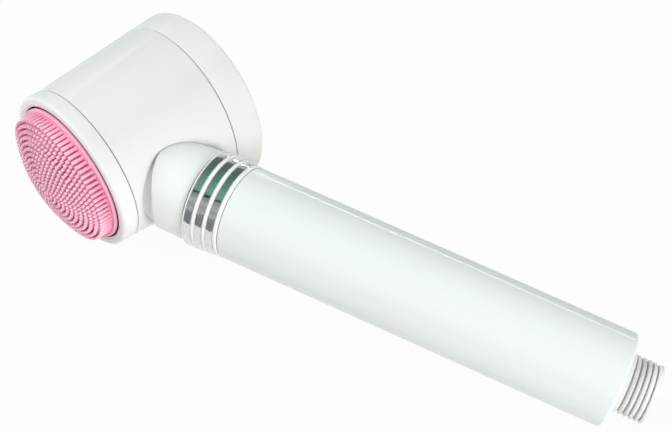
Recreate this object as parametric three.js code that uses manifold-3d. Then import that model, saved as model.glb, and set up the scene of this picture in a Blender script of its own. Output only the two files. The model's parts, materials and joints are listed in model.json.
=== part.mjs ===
// Double-sided hand-held bath sprayer for washing pets: a drum head with a turning silicone brush on
// its front and a spray plate on its back, on a long handle that holds a water filter and ends in a
// 1/2 inch hose thread. Water enters at the thread, runs through the filter and the neck into the
// drum, turns a small turbine there and leaves through the spray plate. The turbine drives the brush
// through a 9:1 gear train.
//
// Millimetres. The head is drawn about its own axis, with z towards the brush and x towards the neck.
// The handle is drawn about its own axis, with z measured from the drum's axis towards the thread.
import * as THREE from 'three';
import { mergeVertices } from 'three/addons/utils/BufferGeometryUtils.js';
import Module from 'manifold-3d';

const wasm = await Module();
wasm.setup();

// ---------------------------------------------------------------- driving dimensions
const seatGap = 0.3; // between fixed parts that touch
const runGap = 0.09; // radial, between a shaft and its bore
const pressGap = 0.05; // radial, between a shaft and what is fixed on it
const screwGap = 0.15; // radial, between a screw and its hole
const edgeBreak = 0.4; // chamfer of small edges
const cutPast = 1; // how far a cut runs past the face that it opens
const joinDepth = 1; // how far joined shapes reach into each other

// drum
const handleLean = 15; // degrees that the handle leans back from square to the drum's axis
const drumFrontZ = 11; // seam between drum and bezel
const drumBackZ = -36.5; // seam between drum and rear ring
const drumFrontR = 33.75;
const drumBackR = 38.75;
const plenumWall = 0.75; // least wall round the water room, at the drum's front
const partitionFrontZ = 0.5; // wall between the gears and the water
const partitionThickness = 2.5;
const jetSeatInset = 13.8; // seat of the jet plate, in from the back seam
const jetSeatWidth = 1;
const lipHeight = 3.5; // front lip that the bezel sits over
const lipWall = 1.6;
const rearSpigotLength = 7.5;
const rearSpigotWall = 2.3;

// bezel and rear ring
const bezelDepth = 7;
const bezelWall = 1.25; // round the drum's lip
const bezelTaper = 0.1;
const bezelCorner = 1.4;
const openingStep = 0.85; // opening, in from the gear room's wall
const rearRingDepth = 14;
const rearRingWall = 2.15;
const rearRimStep = 1.35; // rim, out from the drum's back edge
const rearRimRound = 1.6;
const rearLipWidth = 3.1;
const rearLipThickness = 1.5;

// brush
const brushGap = 0.7; // between the opening and the pad
const padProud = 0.9; // pad's flange in front of the bezel
const padFlangeDepth = 3.9;
const padThickness = 3;
const padEdgeBreak = 0.8;
const padCrown = 6.5; // rise of the bristles' tips from the edge to the middle
const crownFlatRing = 5; // bristle ring, counted inwards, where the pad's flat middle starts
const bristleReach = 5; // length above the pad's edge
const bristleRoot = 1; // depth that a bristle is rooted in the pad
const bristleR = 1; // corner radius of a three-sided bristle
const bristleInset = 1.65; // outer ring, in from the pad's edge
const bristleRingPitch = 2.8;
const bristleSpacing = 3.02;
const carrierWall = 2.2;
const carrierHubWall = 2.5;
const carrierCap = 3; // thickness over the end of the brush shaft

// shafts and gears
const pinionTeeth = 8;
const wheelTeeth = 24;
const addendum = 0.8; // in modules
const dedendum = 1.25; // in modules
const toothRootHalf = 0.3; // half a tooth's width, as a share of the tooth pitch
const toothTipHalf = 0.1;
const gearRoomGap = 1.8; // between the idler wheel's teeth and the wall
const gearWidth = 2.8;
const gearGap = 0.8; // between two levels of gears, and under the cover
const gearFloorGap = 1.9; // under the lower gears
const idlerRest = 0.6; // between the idler's boss and the idler
const idlerBossR = 3;
const pinWall = 1; // wall left beyond the blind ends of the idler pin
const thinShaftR = 1.5;
const brushShaftR = 2.5;
const bushWall = 1.4;
const bushGap = 0.1; // radial, between a bush and its hole
const bushFlange = 1.1; // width of a bush's flange
const bushFlangeThickness = 0.8;
const sealBossR = 7.5;
const sealBossLength = 4;
const sealPocketR = 5;
const sealPocketDepth = 3;
const sealLip = 0.8;

// gear cover and screws
const coverThickness = 2;
const screwR = 1.2;
const screwLength = 7;
const screwHeadR = 2.4;
const screwHeadHeight = 1.3;
const screwSlotWidth = 0.5;
const screwBossWall = 1.8;
const screwCircleInset = 4.6; // screws, in from the gear room's wall
const screwSpread = 105; // degrees from the first screw to the other two

// turbine
const jetPlateThickness = 3;
const jetCount = 8;
const jetCircleR = 19;
const jetLength = 7;
const jetWidth = 2.4;
const turbineGap = 1.2; // between the jet plate and the turbine
const turbineR = 26;
const turbineRimWall = 1.2;
const turbineRimInset = 1; // rim, in from both ends of the hub
const turbineDepth = 8;
const turbineBlades = 6;
const bladePitch = 38; // degrees from the shaft's axis
const bladeThickness = 1.4;
const turbineHubWall = 2.7;
const rearBossGap = 3; // between the turbine and the rear bearing's boss
const rearBossWall = 1.8;
const rearBushLength = 3.9;

// spray plate
const sprayPlateThickness = 3;
const sprayPlateInset = 0.3; // face, in from the rim
const sprayWall = 2; // upright wall of the plate
const spraySealThickness = 1.4;
const spraySealInset = 0.3;
const sprayHoleR = 0.6;
const sprayRingCount = 3;
const sprayHolesInFirstRing = 5; // and as many more in each further ring
const sprayEdge = 4.9; // outer ring of holes, in from the face's edge

// neck and collar, with lengths along the handle
const neckWall = 1.7;
const neckBoreR = 6.2;
const neckSaddleStep = 4; // radius of the round cut of the neck's lower end, out from the neck
const neckSaddleDrop = 0.2; // top of that cut, below the socket's floor
const socketWall = 2.4;
const socketFloorWall = 2; // least wall between socket and turbine room
const socketRoot = 6; // start of the socket, inside the water room's wall
const socketDepth = 9.3;
const washerThickness = 1.5;
const collarLength = 14.5;
const collarStep = 1.3; // collar's upper edge, out from the neck
const collarEndStep = 0.2; // its lower edge, out from the handle
const collarBoreR = 9;
const collarLowerSpigot = 12;
const collarTopEdge = 0.5; // white edge above the first chrome band
const collarEndEdge = 1.5;
const bandCount = 3;
const bandRib = 1.45; // white rib between two bands
const bandDepth = 1.4;
const bandGap = 0.15; // at a band's sides

// handle and inlet
const handleTopR = 19; // and the neck's
const handleEndR = 17.25;
const handleEndZ = 214; // from the drum's axis
const handleWall = 2.2;
const handleEndWall = 3.6;
const handleEndRound = 1.8;
const threadR = 10.48; // 1/2 inch pipe thread, crest
const threadDepth = 1.16;
const threadPitch = 1.814;
const threadLength = 9.6;
const threadRunOut = 1.3; // height in which the thread fades at both ends
const threadCrestShare = 1.5; // above 1, the thread's wave is cut to a flat crest
const threadRingStep = 0.37; // plain ring, out from the thread's crest
const threadRingLength = 2.6;
const inletBoreR = 7.4;
const inletFlangeGap = 1.45; // between the flange and the handle's bore
const inletFlangeThickness = 3.6;
const screenThickness = 1;
const screenRebate = 1.9; // depth of the seat for the screen
const screenRebateWidth = 1.8;
const screenHoleR = 1.2;
const screenHoleCircleR = 4.6;
const screenHoles = 8;

// filter
const filterGap = 1.25; // between the filter's caps and the handle's bore
const filterMediaStep = 0.6; // felt, in from the caps
const filterBoreR = 4.8;
const filterCapThickness = 2.4;
const filterNippleGap = 0.4;
const filterNippleLength = 8;
const filterPlugLength = 4;
const filterFeet = 3;
const filterFootHeight = 3.4;
const filterFootWidth = 4;
const filterFootDepth = 3;

// ring seals
const sealWire = 1.8;
const sealGrooveGap = 0.2; // at the seal's sides
const sealSqueeze = 0.9; // drawn wire thickness, as a share of the groove's depth
const handleSealInset = 4; // from the spigot's end

// roundness of the turned parts
const drumSides = 36;
const handleSides = 28;
const innerSides = 24;
const smallSides = 14;
const boreSides = 16;
const threadSides = 20;
const sealSides = 20;
const wireSides = 5;
const arcSteps = 2;
const screwSides = 8;

// ---------------------------------------------------------------- sizes worked out from them
const degrees = Math.PI / 180;
const leanAngle = handleLean * degrees;

const bezelFrontZ = drumFrontZ + bezelDepth;
const lipR = drumFrontR - bezelWall - seatGap;
const lipEndZ = drumFrontZ + lipHeight;
const gearRoomR = lipR - lipWall;
const openingR = gearRoomR - openingStep;
const partitionBackZ = partitionFrontZ - partitionThickness;

const rearSpigotR = drumBackR - rearRingWall - seatGap;
const rearSpigotEndZ = drumBackZ - rearSpigotLength;
const rearRimR = drumBackR + rearRimStep;
const rearRingBackZ = drumBackZ - rearRingDepth;
const rearRimZ = rearRingBackZ + rearRimRound; // height of the widest point of the rim
const rearLipR = rearSpigotR - rearLipWidth;
const rearLipZ = rearRingBackZ + rearLipThickness;
const turbineRoomR = rearSpigotR - rearSpigotWall;
const jetSeatZ = drumBackZ + jetSeatInset;
const plenumBackR = turbineRoomR - jetSeatWidth;
const plenumFrontR = drumFrontR - plenumWall;

const gearModule = (gearRoomR - gearRoomGap) / (pinionTeeth / 2 + wheelTeeth + addendum);
const gearCentres = gearModule * (pinionTeeth + wheelTeeth) / 2;
const gearLevel1Z = partitionFrontZ + gearFloorGap;
const gearLevel2Z = gearLevel1Z + gearWidth + gearGap;
const coverZ = gearLevel2Z + gearWidth + gearGap;
const coverFrontZ = coverZ + coverThickness;
const thinBoreR = thinShaftR + runGap;
const brushBoreR = brushShaftR + runGap;
const bushR = thinShaftR + bushWall;
const bushHoleR = bushR + bushGap;
const sealPocketZ = partitionBackZ - sealBossLength;
const sealPocketFloorZ = sealPocketZ + sealPocketDepth;

const jetPlateFrontZ = jetSeatZ - seatGap;
const jetPlateBackZ = jetPlateFrontZ - jetPlateThickness;
const turbineFrontZ = jetPlateBackZ - turbineGap;
const turbineBackZ = turbineFrontZ - turbineDepth;
const rearBossZ = turbineBackZ - rearBossGap;
const sprayPlateFrontZ = rearSpigotEndZ - spraySealThickness - 2 * seatGap;

const padR = openingR - brushGap;
const padFlangeZ = bezelFrontZ + padProud; // where the bristles start
const padEdgeZ = padFlangeZ - padFlangeDepth;
const bristleOuterRingR = padR - bristleInset;
const padConeR = bristleOuterRingR + bristleR;
const padFlatR = bristleOuterRingR - bristleRingPitch * (crownFlatRing + 0.5);
const padMiddleZ = padFlangeZ + crownRise(padFlatR);
const carrierTopZ = padMiddleZ - padThickness - seatGap;
const shaftTopZ = carrierTopZ - carrierCap;

const neckR = handleTopR; // the handle goes on with the neck's size
const neckSaddleR = neckR + neckSaddleStep;
const socketR = neckR - neckWall - seatGap;
const socketBoreR = socketR - socketWall;
const socketReach = turbineRoomR + socketFloorWall + socketBoreR * Math.sin(leanAngle);
const socketFloorZ = socketReach / Math.cos(leanAngle);
const collarStartZ = socketFloorZ + socketDepth;
const collarEndZ = collarStartZ + collarLength;
const collarTopZ = socketFloorZ + washerThickness + 2 * seatGap;
const collarBottomZ = collarEndZ + collarLowerSpigot;
const collarTopR = neckR + collarStep;
const collarEndR = handleTopR + collarEndStep;
const bandWidth = (collarLength - collarTopEdge - collarEndEdge - (bandCount - 1) * bandRib) / bandCount;

const handleTopZ = collarEndZ + seatGap;
const handleBoreTopR = handleTopR - handleWall;
const handleBoreEndR = handleEndR - handleWall;
const handleEndWallZ = handleEndZ - handleEndWall;
const threadRingR = threadR + threadRingStep;
const threadStartZ = handleEndZ + threadRingLength;
const threadEndZ = threadStartZ + threadLength;
const inletHoleR = threadRingR + seatGap;
const inletFlangeR = handleBoreEndR - inletFlangeGap;
const inletFlangeZ = handleEndWallZ - sealWire;
const inletInnerZ = inletFlangeZ - inletFlangeThickness;

const filterCapR = handleBoreEndR - filterGap;
const filterR = filterCapR - filterMediaStep;
const filterTopZ = collarBottomZ + seatGap;
const filterNippleR = collarBoreR - filterNippleGap;
const filterSealZ = filterTopZ - filterNippleLength / 2;
const filterFootZ = inletInnerZ - seatGap;
const filterBottomCapZ = filterFootZ - filterFootHeight - filterCapThickness;
const filterMediaTopZ = filterTopZ + filterCapThickness + seatGap;
const filterMediaEndZ = filterBottomCapZ - seatGap;

// radius of the drum's outside at a height along its axis
function drumR(z) {
  return drumFrontR + (drumBackR - drumFrontR) * (drumFrontZ - z) / (drumFrontZ - drumBackZ);
}

// rise of the bristles' tips at a radius, above those of the outer ring
function crownRise(r) {
  return padCrown * (1 - (r / bristleOuterRingR) ** 2);
}

// height of the pad under the bristles, above its flange: a cone with a flat middle
function padRise(r) {
  const share = (padConeR - r) / (padConeR - padFlatR);
  return (padMiddleZ - padFlangeZ) * Math.min(1, share);
}

// radius of the collar's outside at a height along the handle
function collarR(z) {
  return collarTopR + (collarEndR - collarTopR) * (z - collarStartZ) / collarLength;
}

// ---------------------------------------------------------------- geometry helpers
function toSolid(geometry) {
  const bare = geometry.index ? geometry.toNonIndexed() : geometry.clone();
  bare.deleteAttribute('normal');
  bare.deleteAttribute('uv');
  const merged = mergeVertices(bare, 1e-4);
  const corners = [];
  for (let i = 0; i < merged.index.count; i += 3) {
    const [a, b, c] = [0, 1, 2].map((k) => merged.index.getX(i + k));
    if (a !== b && b !== c && c !== a) {
      corners.push(a, b, c);
    }
  }
  const vertProperties = new Float32Array(merged.attributes.position.array);
  const triVerts = new Uint32Array(corners);
  const solid = new wasm.Manifold(new wasm.Mesh({ numProp: 3, vertProperties, triVerts }));
  if (solid.volume() > 0) {
    return solid;
  }
  for (let i = 0; i < triVerts.length; i += 3) {
    [triVerts[i], triVerts[i + 1]] = [triVerts[i + 1], triVerts[i]];
  }
  return new wasm.Manifold(new wasm.Mesh({ numProp: 3, vertProperties, triVerts }));
}

function toGeometry(solid) {
  const mesh = solid.getMesh();
  const geometry = new THREE.BufferGeometry();
  const positions = new Float32Array(mesh.numVert * 3);
  for (let i = 0; i < mesh.numVert; i++) {
    for (let k = 0; k < 3; k++) {
      positions[3 * i + k] = mesh.vertProperties[i * mesh.numProp + k];
    }
  }
  geometry.setAttribute('position', new THREE.BufferAttribute(positions, 3));
  geometry.setIndex(new THREE.BufferAttribute(new Uint32Array(mesh.triVerts), 1));
  geometry.computeVertexNormals();
  return geometry;
}

// a closed profile of [radius, height] points, turned about z
function turned(profile, segments) {
  const points = profile.map(([r, z]) => new THREE.Vector2(r, z));
  points.push(points[0].clone());
  const geometry = new THREE.LatheGeometry(points, segments);
  geometry.rotateX(Math.PI / 2);
  return toSolid(geometry);
}

function tube(outerR, innerR, z0, z1, segments) {
  return turned([[innerR, z0], [outerR, z0], [outerR, z1], [innerR, z1]], segments);
}

function rod(r, z0, z1, segments) {
  const geometry = new THREE.CylinderGeometry(r, r, z1 - z0, segments);
  geometry.rotateX(Math.PI / 2);
  geometry.translate(0, 0, (z0 + z1) / 2);
  return toSolid(geometry);
}

function block(width, depth, z0, z1) {
  const geometry = new THREE.BoxGeometry(width, depth, z1 - z0);
  geometry.translate(0, 0, (z0 + z1) / 2);
  return toSolid(geometry);
}

// a ring seal in the groove that sealGroove cuts in a spigot of radius r
function ringSeal(r, z) {
  const wireR = sealSqueeze * sealWire / 2;
  const geometry = new THREE.TorusGeometry(r - sealWire / 2, wireR, wireSides, sealSides);
  geometry.translate(0, 0, z);
  return toSolid(geometry);
}

function sealGroove(r, z) {
  const half = sealWire / 2 + sealGrooveGap;
  return [[r, z - half], [r - sealWire, z - half], [r - sealWire, z + half], [r, z + half]];
}

// the same solid repeated round the z axis, as one
function repeated(solid, count, start = 0) {
  let all = solid.rotate([0, 0, start]);
  for (let i = 1; i < count; i++) {
    all = all.add(solid.rotate([0, 0, start + 360 * i / count]));
  }
  return all;
}

// points of a round edge in a profile, from one angle to another, in degrees
function arc(r, z, radius, from, to) {
  const points = [];
  for (let i = 0; i <= arcSteps; i++) {
    const angle = (from + (to - from) * i / arcSteps) * degrees;
    points.push([r + radius * Math.cos(angle), z + radius * Math.sin(angle)]);
  }
  return points;
}

function circlePlaces(r, count, start = 0) {
  const places = [];
  for (let i = 0; i < count; i++) {
    const angle = start + 2 * Math.PI * i / count;
    places.push([r * Math.cos(angle), r * Math.sin(angle)]);
  }
  return places;
}

// upright round pins at a list of places, as one solid
function roundPins(places, r, z0, z1, segments) {
  let all = null;
  for (const [x, y] of places) {
    const pin = rod(r, z0, z1, segments).translate([x, y, 0]);
    all = all ? all.add(pin) : pin;
  }
  return all;
}

// from the handle's frame into the head's: the handle leaves along x and leans towards the spray side
function handleToHead(solid) {
  return solid.rotate([0, 90 + handleLean, 0]);
}

function headToHandle(solid) {
  return solid.rotate([0, -90 - handleLean, 0]);
}

// ---------------------------------------------------------------- materials
function finish(color, roughness, metalness = 0) {
  return new THREE.MeshStandardMaterial({ color, roughness, metalness });
}

const whitePlastic = finish(0xf0f2ef, 0.22);
const creamPlastic = finish(0xf1f0e6, 0.25);
const innerPlastic = finish(0xdcdedb, 0.5);
const pinkSilicone = finish(0xf4a3c2, 0.55);
const chrome = finish(0xdfe3e6, 0.06, 1);
const steel = finish(0xb9bcbf, 0.3, 1);
const brass = finish(0xc9a45a, 0.35, 1);
const gearPlastic = finish(0xe6e2d2, 0.45);
const sealRubber = finish(0x2a2b2c, 0.7);
const threadPlastic = finish(0xd9d6cb, 0.35);
const filterFelt = finish(0xf4f1ea, 0.95);

// ---------------------------------------------------------------- head: fixed parts
const screwCircleR = gearRoomR - screwCircleInset;
const screwPlaces = [0, screwSpread, -screwSpread].map((angle) => [
  screwCircleR * Math.cos(angle * degrees),
  screwCircleR * Math.sin(angle * degrees),
]);
const idlerPlace = [-gearCentres, 0];
const screwHoleR = screwR + screwGap;
const pinFloorZ = partitionBackZ + pinWall;
const pinCeilingZ = coverFrontZ - pinWall;

// the drum's outside as a solid, larger all round by an allowance
function drumOutside(allowance) {
  return turned([
    [0, drumFrontZ],
    [drumR(drumFrontZ) + allowance, drumFrontZ],
    [drumR(drumBackZ) + allowance, drumBackZ],
    [0, drumBackZ],
  ], drumSides);
}

function makeHeadShell() {
  const shell = turned([
    [bushHoleR, partitionFrontZ],
    [gearRoomR, partitionFrontZ],
    [gearRoomR, lipEndZ],
    [lipR, lipEndZ],
    [lipR, drumFrontZ],
    [drumFrontR, drumFrontZ],
    [drumBackR, drumBackZ],
    [rearSpigotR, drumBackZ],
    [rearSpigotR, rearSpigotEndZ],
    [turbineRoomR, rearSpigotEndZ],
    [turbineRoomR, jetSeatZ],
    [plenumBackR, jetSeatZ],
    [plenumFrontR, partitionBackZ],
    [sealBossR, partitionBackZ],
    [sealBossR, sealPocketZ],
    [sealPocketR, sealPocketZ],
    [sealPocketR, sealPocketFloorZ],
    [bushHoleR, sealPocketFloorZ],
  ], drumSides);
  const rootZ = plenumFrontR - socketRoot;
  const socket = handleToHead(rod(socketR, rootZ, collarStartZ - seatGap, innerSides))
    .subtract(drumOutside(-joinDepth));
  const socketBore = handleToHead(rod(socketBoreR, socketFloorZ, collarStartZ, innerSides));
  const waterWay = handleToHead(rod(neckBoreR, rootZ, collarStartZ, smallSides));
  const bossFootZ = partitionFrontZ - joinDepth;
  const bossTopZ = coverZ - seatGap;
  const screwBosses = roundPins(screwPlaces, screwR + screwBossWall, bossFootZ, bossTopZ, screwSides);
  const screwHoles = roundPins(
    screwPlaces, screwHoleR, coverFrontZ - screwLength - cutPast, bossTopZ + cutPast, screwSides);
  const idlerBoss = roundPins([idlerPlace], idlerBossR, bossFootZ, gearLevel1Z - idlerRest, screwSides);
  const pinHole = roundPins([idlerPlace], thinBoreR, pinFloorZ, gearLevel1Z, boreSides);
  return shell
    .add(socket)
    .add(screwBosses)
    .add(idlerBoss)
    .subtract(socketBore)
    .subtract(waterWay)
    .subtract(screwHoles)
    .subtract(pinHole);
}

function makeBezelRing() {
  const seamZ = drumFrontZ + seatGap;
  const cornerR = drumR(seamZ) - bezelTaper - bezelCorner;
  return turned([
    [lipR + seatGap, seamZ],
    [drumR(seamZ), seamZ],
    ...arc(cornerR, bezelFrontZ - bezelCorner, bezelCorner, 0, 90),
    [openingR + edgeBreak, bezelFrontZ],
    [openingR, bezelFrontZ - edgeBreak],
    [openingR, lipEndZ + seatGap],
    [lipR + seatGap, lipEndZ + seatGap],
  ], drumSides);
}

const outputBushR = brushBoreR + bushWall;

function makeGearCover() {
  const holes = roundPins(screwPlaces, screwHoleR, coverZ - cutPast, coverFrontZ + cutPast, screwSides);
  const pinPocket = roundPins([idlerPlace], thinBoreR, coverZ - cutPast, pinCeilingZ, boreSides);
  return tube(gearRoomR - seatGap, outputBushR + bushGap, coverZ, coverFrontZ, innerSides)
    .subtract(holes)
    .subtract(pinPocket);
}

// a plain bush from z0 to a flange that stands on z1
function flangedBush(boreR, outerR, z0, z1) {
  return turned([
    [boreR, z0],
    [outerR, z0],
    [outerR, z1],
    [outerR + bushFlange, z1],
    [outerR + bushFlange, z1 + bushFlangeThickness],
    [boreR, z1 + bushFlangeThickness],
  ], smallSides);
}

// a pan-head screw standing on z = 0, with its shank below and a slot in its head
function panScrew() {
  const body = turned([
    [0, -screwLength],
    [screwR, -screwLength],
    [screwR, 0],
    [screwHeadR, 0],
    [screwHeadR, screwHeadHeight / 2],
    [screwR * 1.5, screwHeadHeight],
    [0, screwHeadHeight],
  ], screwSides);
  const slot = block(screwHeadR, screwSlotWidth, screwHeadHeight / 2, screwHeadHeight + cutPast);
  return body.subtract(slot);
}

// lip seal in the partition's pocket, with its lip on the shaft
function makeShaftSeal() {
  const backZ = sealPocketZ + seatGap;
  const frontZ = sealPocketFloorZ - seatGap;
  const outerR = sealPocketR - bushGap;
  return turned([
    [thinBoreR, frontZ - sealLip],
    [thinBoreR + sealLip, backZ],
    [outerR, backZ],
    [outerR, frontZ],
    [thinBoreR + sealLip / 2, frontZ],
  ], smallSides);
}

// plate with slots that turn the water before it meets the turbine
function makeJetPlate() {
  const plate = tube(turbineRoomR - seatGap, thinBoreR, jetPlateBackZ, jetPlateFrontZ, innerSides);
  const slot = toSolid(new THREE.BoxGeometry(jetLength, jetWidth, jetPlateThickness * 4))
    .rotate([-bladePitch, 0, 0])
    .translate([jetCircleR, 0, (jetPlateFrontZ + jetPlateBackZ) / 2]);
  return plate.subtract(repeated(slot, jetCount));
}

// spray face with its wall, its flange under the seal and the boss of the rear bearing
function makeSprayPlate() {
  const flangeR = rearSpigotR - 2 * seatGap;
  const wallR = rearLipR - seatGap;
  const bossR = bushR + rearBossWall;
  const pocketFloorZ = rearBossZ - rearBushLength - seatGap;
  const faceZ = rearRingBackZ + sprayPlateInset;
  const floorZ = faceZ + sprayPlateThickness;
  const plate = turned([
    [0, faceZ],
    [wallR - edgeBreak, faceZ],
    [wallR, faceZ + edgeBreak],
    [wallR, rearLipZ + seatGap],
    [flangeR, rearLipZ + seatGap],
    [flangeR, sprayPlateFrontZ],
    [wallR - sprayWall, sprayPlateFrontZ],
    [wallR - sprayWall, floorZ],
    [bossR, floorZ],
    [bossR, rearBossZ],
    [bushHoleR, rearBossZ],
    [bushHoleR, pocketFloorZ],
    [0, pocketFloorZ],
  ], innerSides);
  const places = [];
  for (let ring = 1; ring <= sprayRingCount; ring++) {
    const count = sprayHolesInFirstRing * ring;
    const halfStep = Math.PI / count;
    places.push(...circlePlaces((wallR - sprayEdge) * ring / sprayRingCount, count, ring * halfStep));
  }
  return plate.subtract(roundPins(places, sprayHoleR, faceZ - cutPast, floorZ + cutPast, 5));
}

function makeSprayPlateSeal() {
  return tube(rearSpigotR - spraySealInset, turbineRoomR + spraySealInset,
    sprayPlateFrontZ + seatGap, rearSpigotEndZ - seatGap, innerSides);
}

function makeRearRing() {
  const seamZ = drumBackZ - seatGap;
  const boreR = rearSpigotR + seatGap;
  return turned([
    [boreR, seamZ],
    [drumBackR, seamZ],
    ...arc(rearRimR - rearRimRound, rearRimZ, rearRimRound, 0, -90),
    [rearLipR + edgeBreak, rearRingBackZ],
    [rearLipR, rearRingBackZ + edgeBreak],
    [rearLipR, rearLipZ],
    [boreR, rearLipZ],
  ], drumSides);
}

// ---------------------------------------------------------------- head: moving parts
function gear(teeth, z0, z1, boreR, turnDegrees) {
  const pitchR = gearModule * teeth / 2;
  const rootR = pitchR - dedendum * gearModule;
  const tipR = pitchR + addendum * gearModule;
  const step = 2 * Math.PI / teeth;
  const outline = [];
  for (let i = 0; i < teeth; i++) {
    const middle = i * step + turnDegrees * degrees;
    const flank = [[rootR, toothRootHalf], [tipR, toothTipHalf]];
    const corners = [...flank.map(([r, part]) => [r, -part]), ...flank.reverse()];
    for (const [r, part] of corners) {
      const angle = middle + part * step;
      outline.push(new THREE.Vector2(r * Math.cos(angle), r * Math.sin(angle)));
    }
  }
  const shape = new THREE.Shape(outline);
  const geometry = new THREE.ExtrudeGeometry(shape, { depth: z1 - z0, bevelEnabled: false });
  geometry.translate(0, 0, z0);
  return toSolid(geometry).subtract(rod(boreR, z0 - cutPast, z1 + cutPast, boreSides));
}

// wheels have a gap, and pinions a tooth, on the line between the shafts
const halfTooth = 180 / wheelTeeth;

function makeOutputGear() {
  return gear(wheelTeeth, gearLevel2Z, gearLevel2Z + gearWidth, brushShaftR + pressGap, halfTooth);
}

function makeIdlerGear() {
  const seamZ = gearLevel1Z + gearWidth;
  const wheel = gear(wheelTeeth, gearLevel1Z, seamZ, thinBoreR, halfTooth);
  const pinion = gear(pinionTeeth, seamZ, gearLevel2Z + gearWidth, thinBoreR, 0);
  return wheel.add(pinion).translate([...idlerPlace, 0]);
}

function makeIdlerPin() {
  return rod(thinShaftR, pinFloorZ + seatGap, pinCeilingZ - seatGap, boreSides)
    .translate([...idlerPlace, 0]);
}

function makeTurbinePinion() {
  return gear(pinionTeeth, gearLevel1Z, gearLevel1Z + gearWidth, thinShaftR + pressGap, 0);
}

function makeTurbineShaft() {
  return rod(thinShaftR, rearBossZ - rearBushLength + seatGap, gearLevel1Z + gearWidth, boreSides);
}

function makeTurbineWheel() {
  const hubR = thinShaftR + turbineHubWall;
  const hub = tube(hubR, thinShaftR + pressGap, turbineBackZ, turbineFrontZ, smallSides);
  const bladeLength = turbineR - hubR + joinDepth;
  const rimZ = [turbineBackZ + turbineRimInset, turbineFrontZ - turbineRimInset];
  const bladeHeight = (rimZ[1] - rimZ[0]) / Math.cos(bladePitch * degrees);
  const blade = toSolid(new THREE.BoxGeometry(bladeLength, bladeThickness, bladeHeight))
    .rotate([bladePitch, 0, 0])
    .translate([turbineR - bladeLength / 2, 0, (turbineFrontZ + turbineBackZ) / 2]);
  const rim = tube(turbineR + turbineRimWall, turbineR - edgeBreak, ...rimZ, innerSides);
  return hub.add(repeated(blade, turbineBlades)).add(rim);
}

function makeBrushShaft() {
  const holeFloorZ = carrierTopZ - screwLength - cutPast;
  return rod(brushShaftR, gearLevel2Z + seatGap, shaftTopZ, smallSides)
    .subtract(rod(screwHoleR, holeFloorZ, shaftTopZ + cutPast, screwSides));
}

// cone-shaped dish under the pad, on a hub that is fixed on the brush shaft
function makeBrushCarrier() {
  const rimR = padConeR - seatGap;
  const edgeZ = padFlangeZ - padThickness - seatGap;
  const hubR = brushShaftR + carrierHubWall;
  const hubZ = coverFrontZ + bushFlangeThickness + 2 * seatGap;
  const boreR = brushShaftR + pressGap;
  return turned([
    [screwHoleR, carrierTopZ],
    [padFlatR, carrierTopZ],
    [rimR, edgeZ],
    [rimR, edgeZ - carrierWall],
    [padFlatR, carrierTopZ - carrierWall],
    [hubR, carrierTopZ - carrierWall],
    [hubR, hubZ],
    [boreR, hubZ],
    [boreR, shaftTopZ + seatGap],
    [screwHoleR, shaftTopZ + seatGap],
  ], smallSides);
}

// low cone with a flat middle: the pad under its bristles or, lowered, the hollow under the pad
function crownedBody(baseZ, lift) {
  return turned([
    [0, baseZ],
    [padConeR, baseZ],
    [padConeR, padFlangeZ + lift],
    [padFlatR, padMiddleZ + lift],
    [0, padMiddleZ + lift],
  ], smallSides);
}

// three-sided bristles in rings, as one set of separate prisms
function makeBristles() {
  const positions = [];
  const rings = Math.floor(bristleOuterRingR / bristleRingPitch) + 1;
  for (let ring = 0; ring < rings; ring++) {
    const ringR = bristleOuterRingR - ring * bristleRingPitch;
    const count = Math.max(1, Math.round(2 * Math.PI * ringR / bristleSpacing));
    for (let i = 0; i < count; i++) {
      const angle = 2 * Math.PI * (i + ring / 2) / count;
      const x = ringR * Math.cos(angle);
      const y = ringR * Math.sin(angle);
      const z0 = padFlangeZ + padRise(ringR) - bristleRoot;
      const z1 = padFlangeZ + crownRise(ringR) + bristleReach;
      const ends = [z0, z1].map((z) => [0, 1, 2].map((k) => {
        const corner = angle + 2 * Math.PI * k / 3;
        return [x + bristleR * Math.cos(corner), y + bristleR * Math.sin(corner), z];
      }));
      const [low, high] = ends;
      positions.push(...low[2], ...low[1], ...low[0], ...high[0], ...high[1], ...high[2]);
      for (let k = 0; k < 3; k++) {
        const next = (k + 1) % 3;
        positions.push(...low[k], ...low[next], ...high[next]);
        positions.push(...low[k], ...high[next], ...high[k]);
      }
    }
  }
  const geometry = new THREE.BufferGeometry();
  geometry.setAttribute('position', new THREE.Float32BufferAttribute(positions, 3));
  return toSolid(geometry);
}

function makeBrushPad() {
  const screwPocketR = screwHeadR + joinDepth;
  const flange = turned([
    [0, padFlangeZ],
    [padR - padEdgeBreak, padFlangeZ],
    [padR, padFlangeZ - padEdgeBreak],
    [padR, padEdgeZ],
    [padConeR, padEdgeZ],
    [padConeR, padFlangeZ - padThickness],
    [0, padFlangeZ - padThickness],
  ], innerSides);
  return flange
    .add(crownedBody(padFlangeZ - joinDepth, 0))
    .subtract(crownedBody(padEdgeZ - cutPast, -padThickness))
    .subtract(rod(screwPocketR, padMiddleZ - padThickness - cutPast, padMiddleZ - joinDepth, smallSides))
    .add(makeBristles());
}

// ---------------------------------------------------------------- neck and collar
// sleeve over the socket, cut round below so that the socket shows on the brush side
function makeNeckSleeve() {
  const rootZ = plenumFrontR - socketRoot;
  const saddle = headToHandle(rod(neckSaddleR, drumBackZ * 2, -drumBackZ * 2, handleSides));
  const saddleZ = socketFloorZ - neckSaddleDrop - neckSaddleR;
  return tube(neckR, socketR + seatGap, rootZ, collarStartZ - seatGap, handleSides)
    .subtract(saddle.translate([0, 0, saddleZ]))
    .subtract(headToHandle(drumOutside(seatGap)));
}

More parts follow.
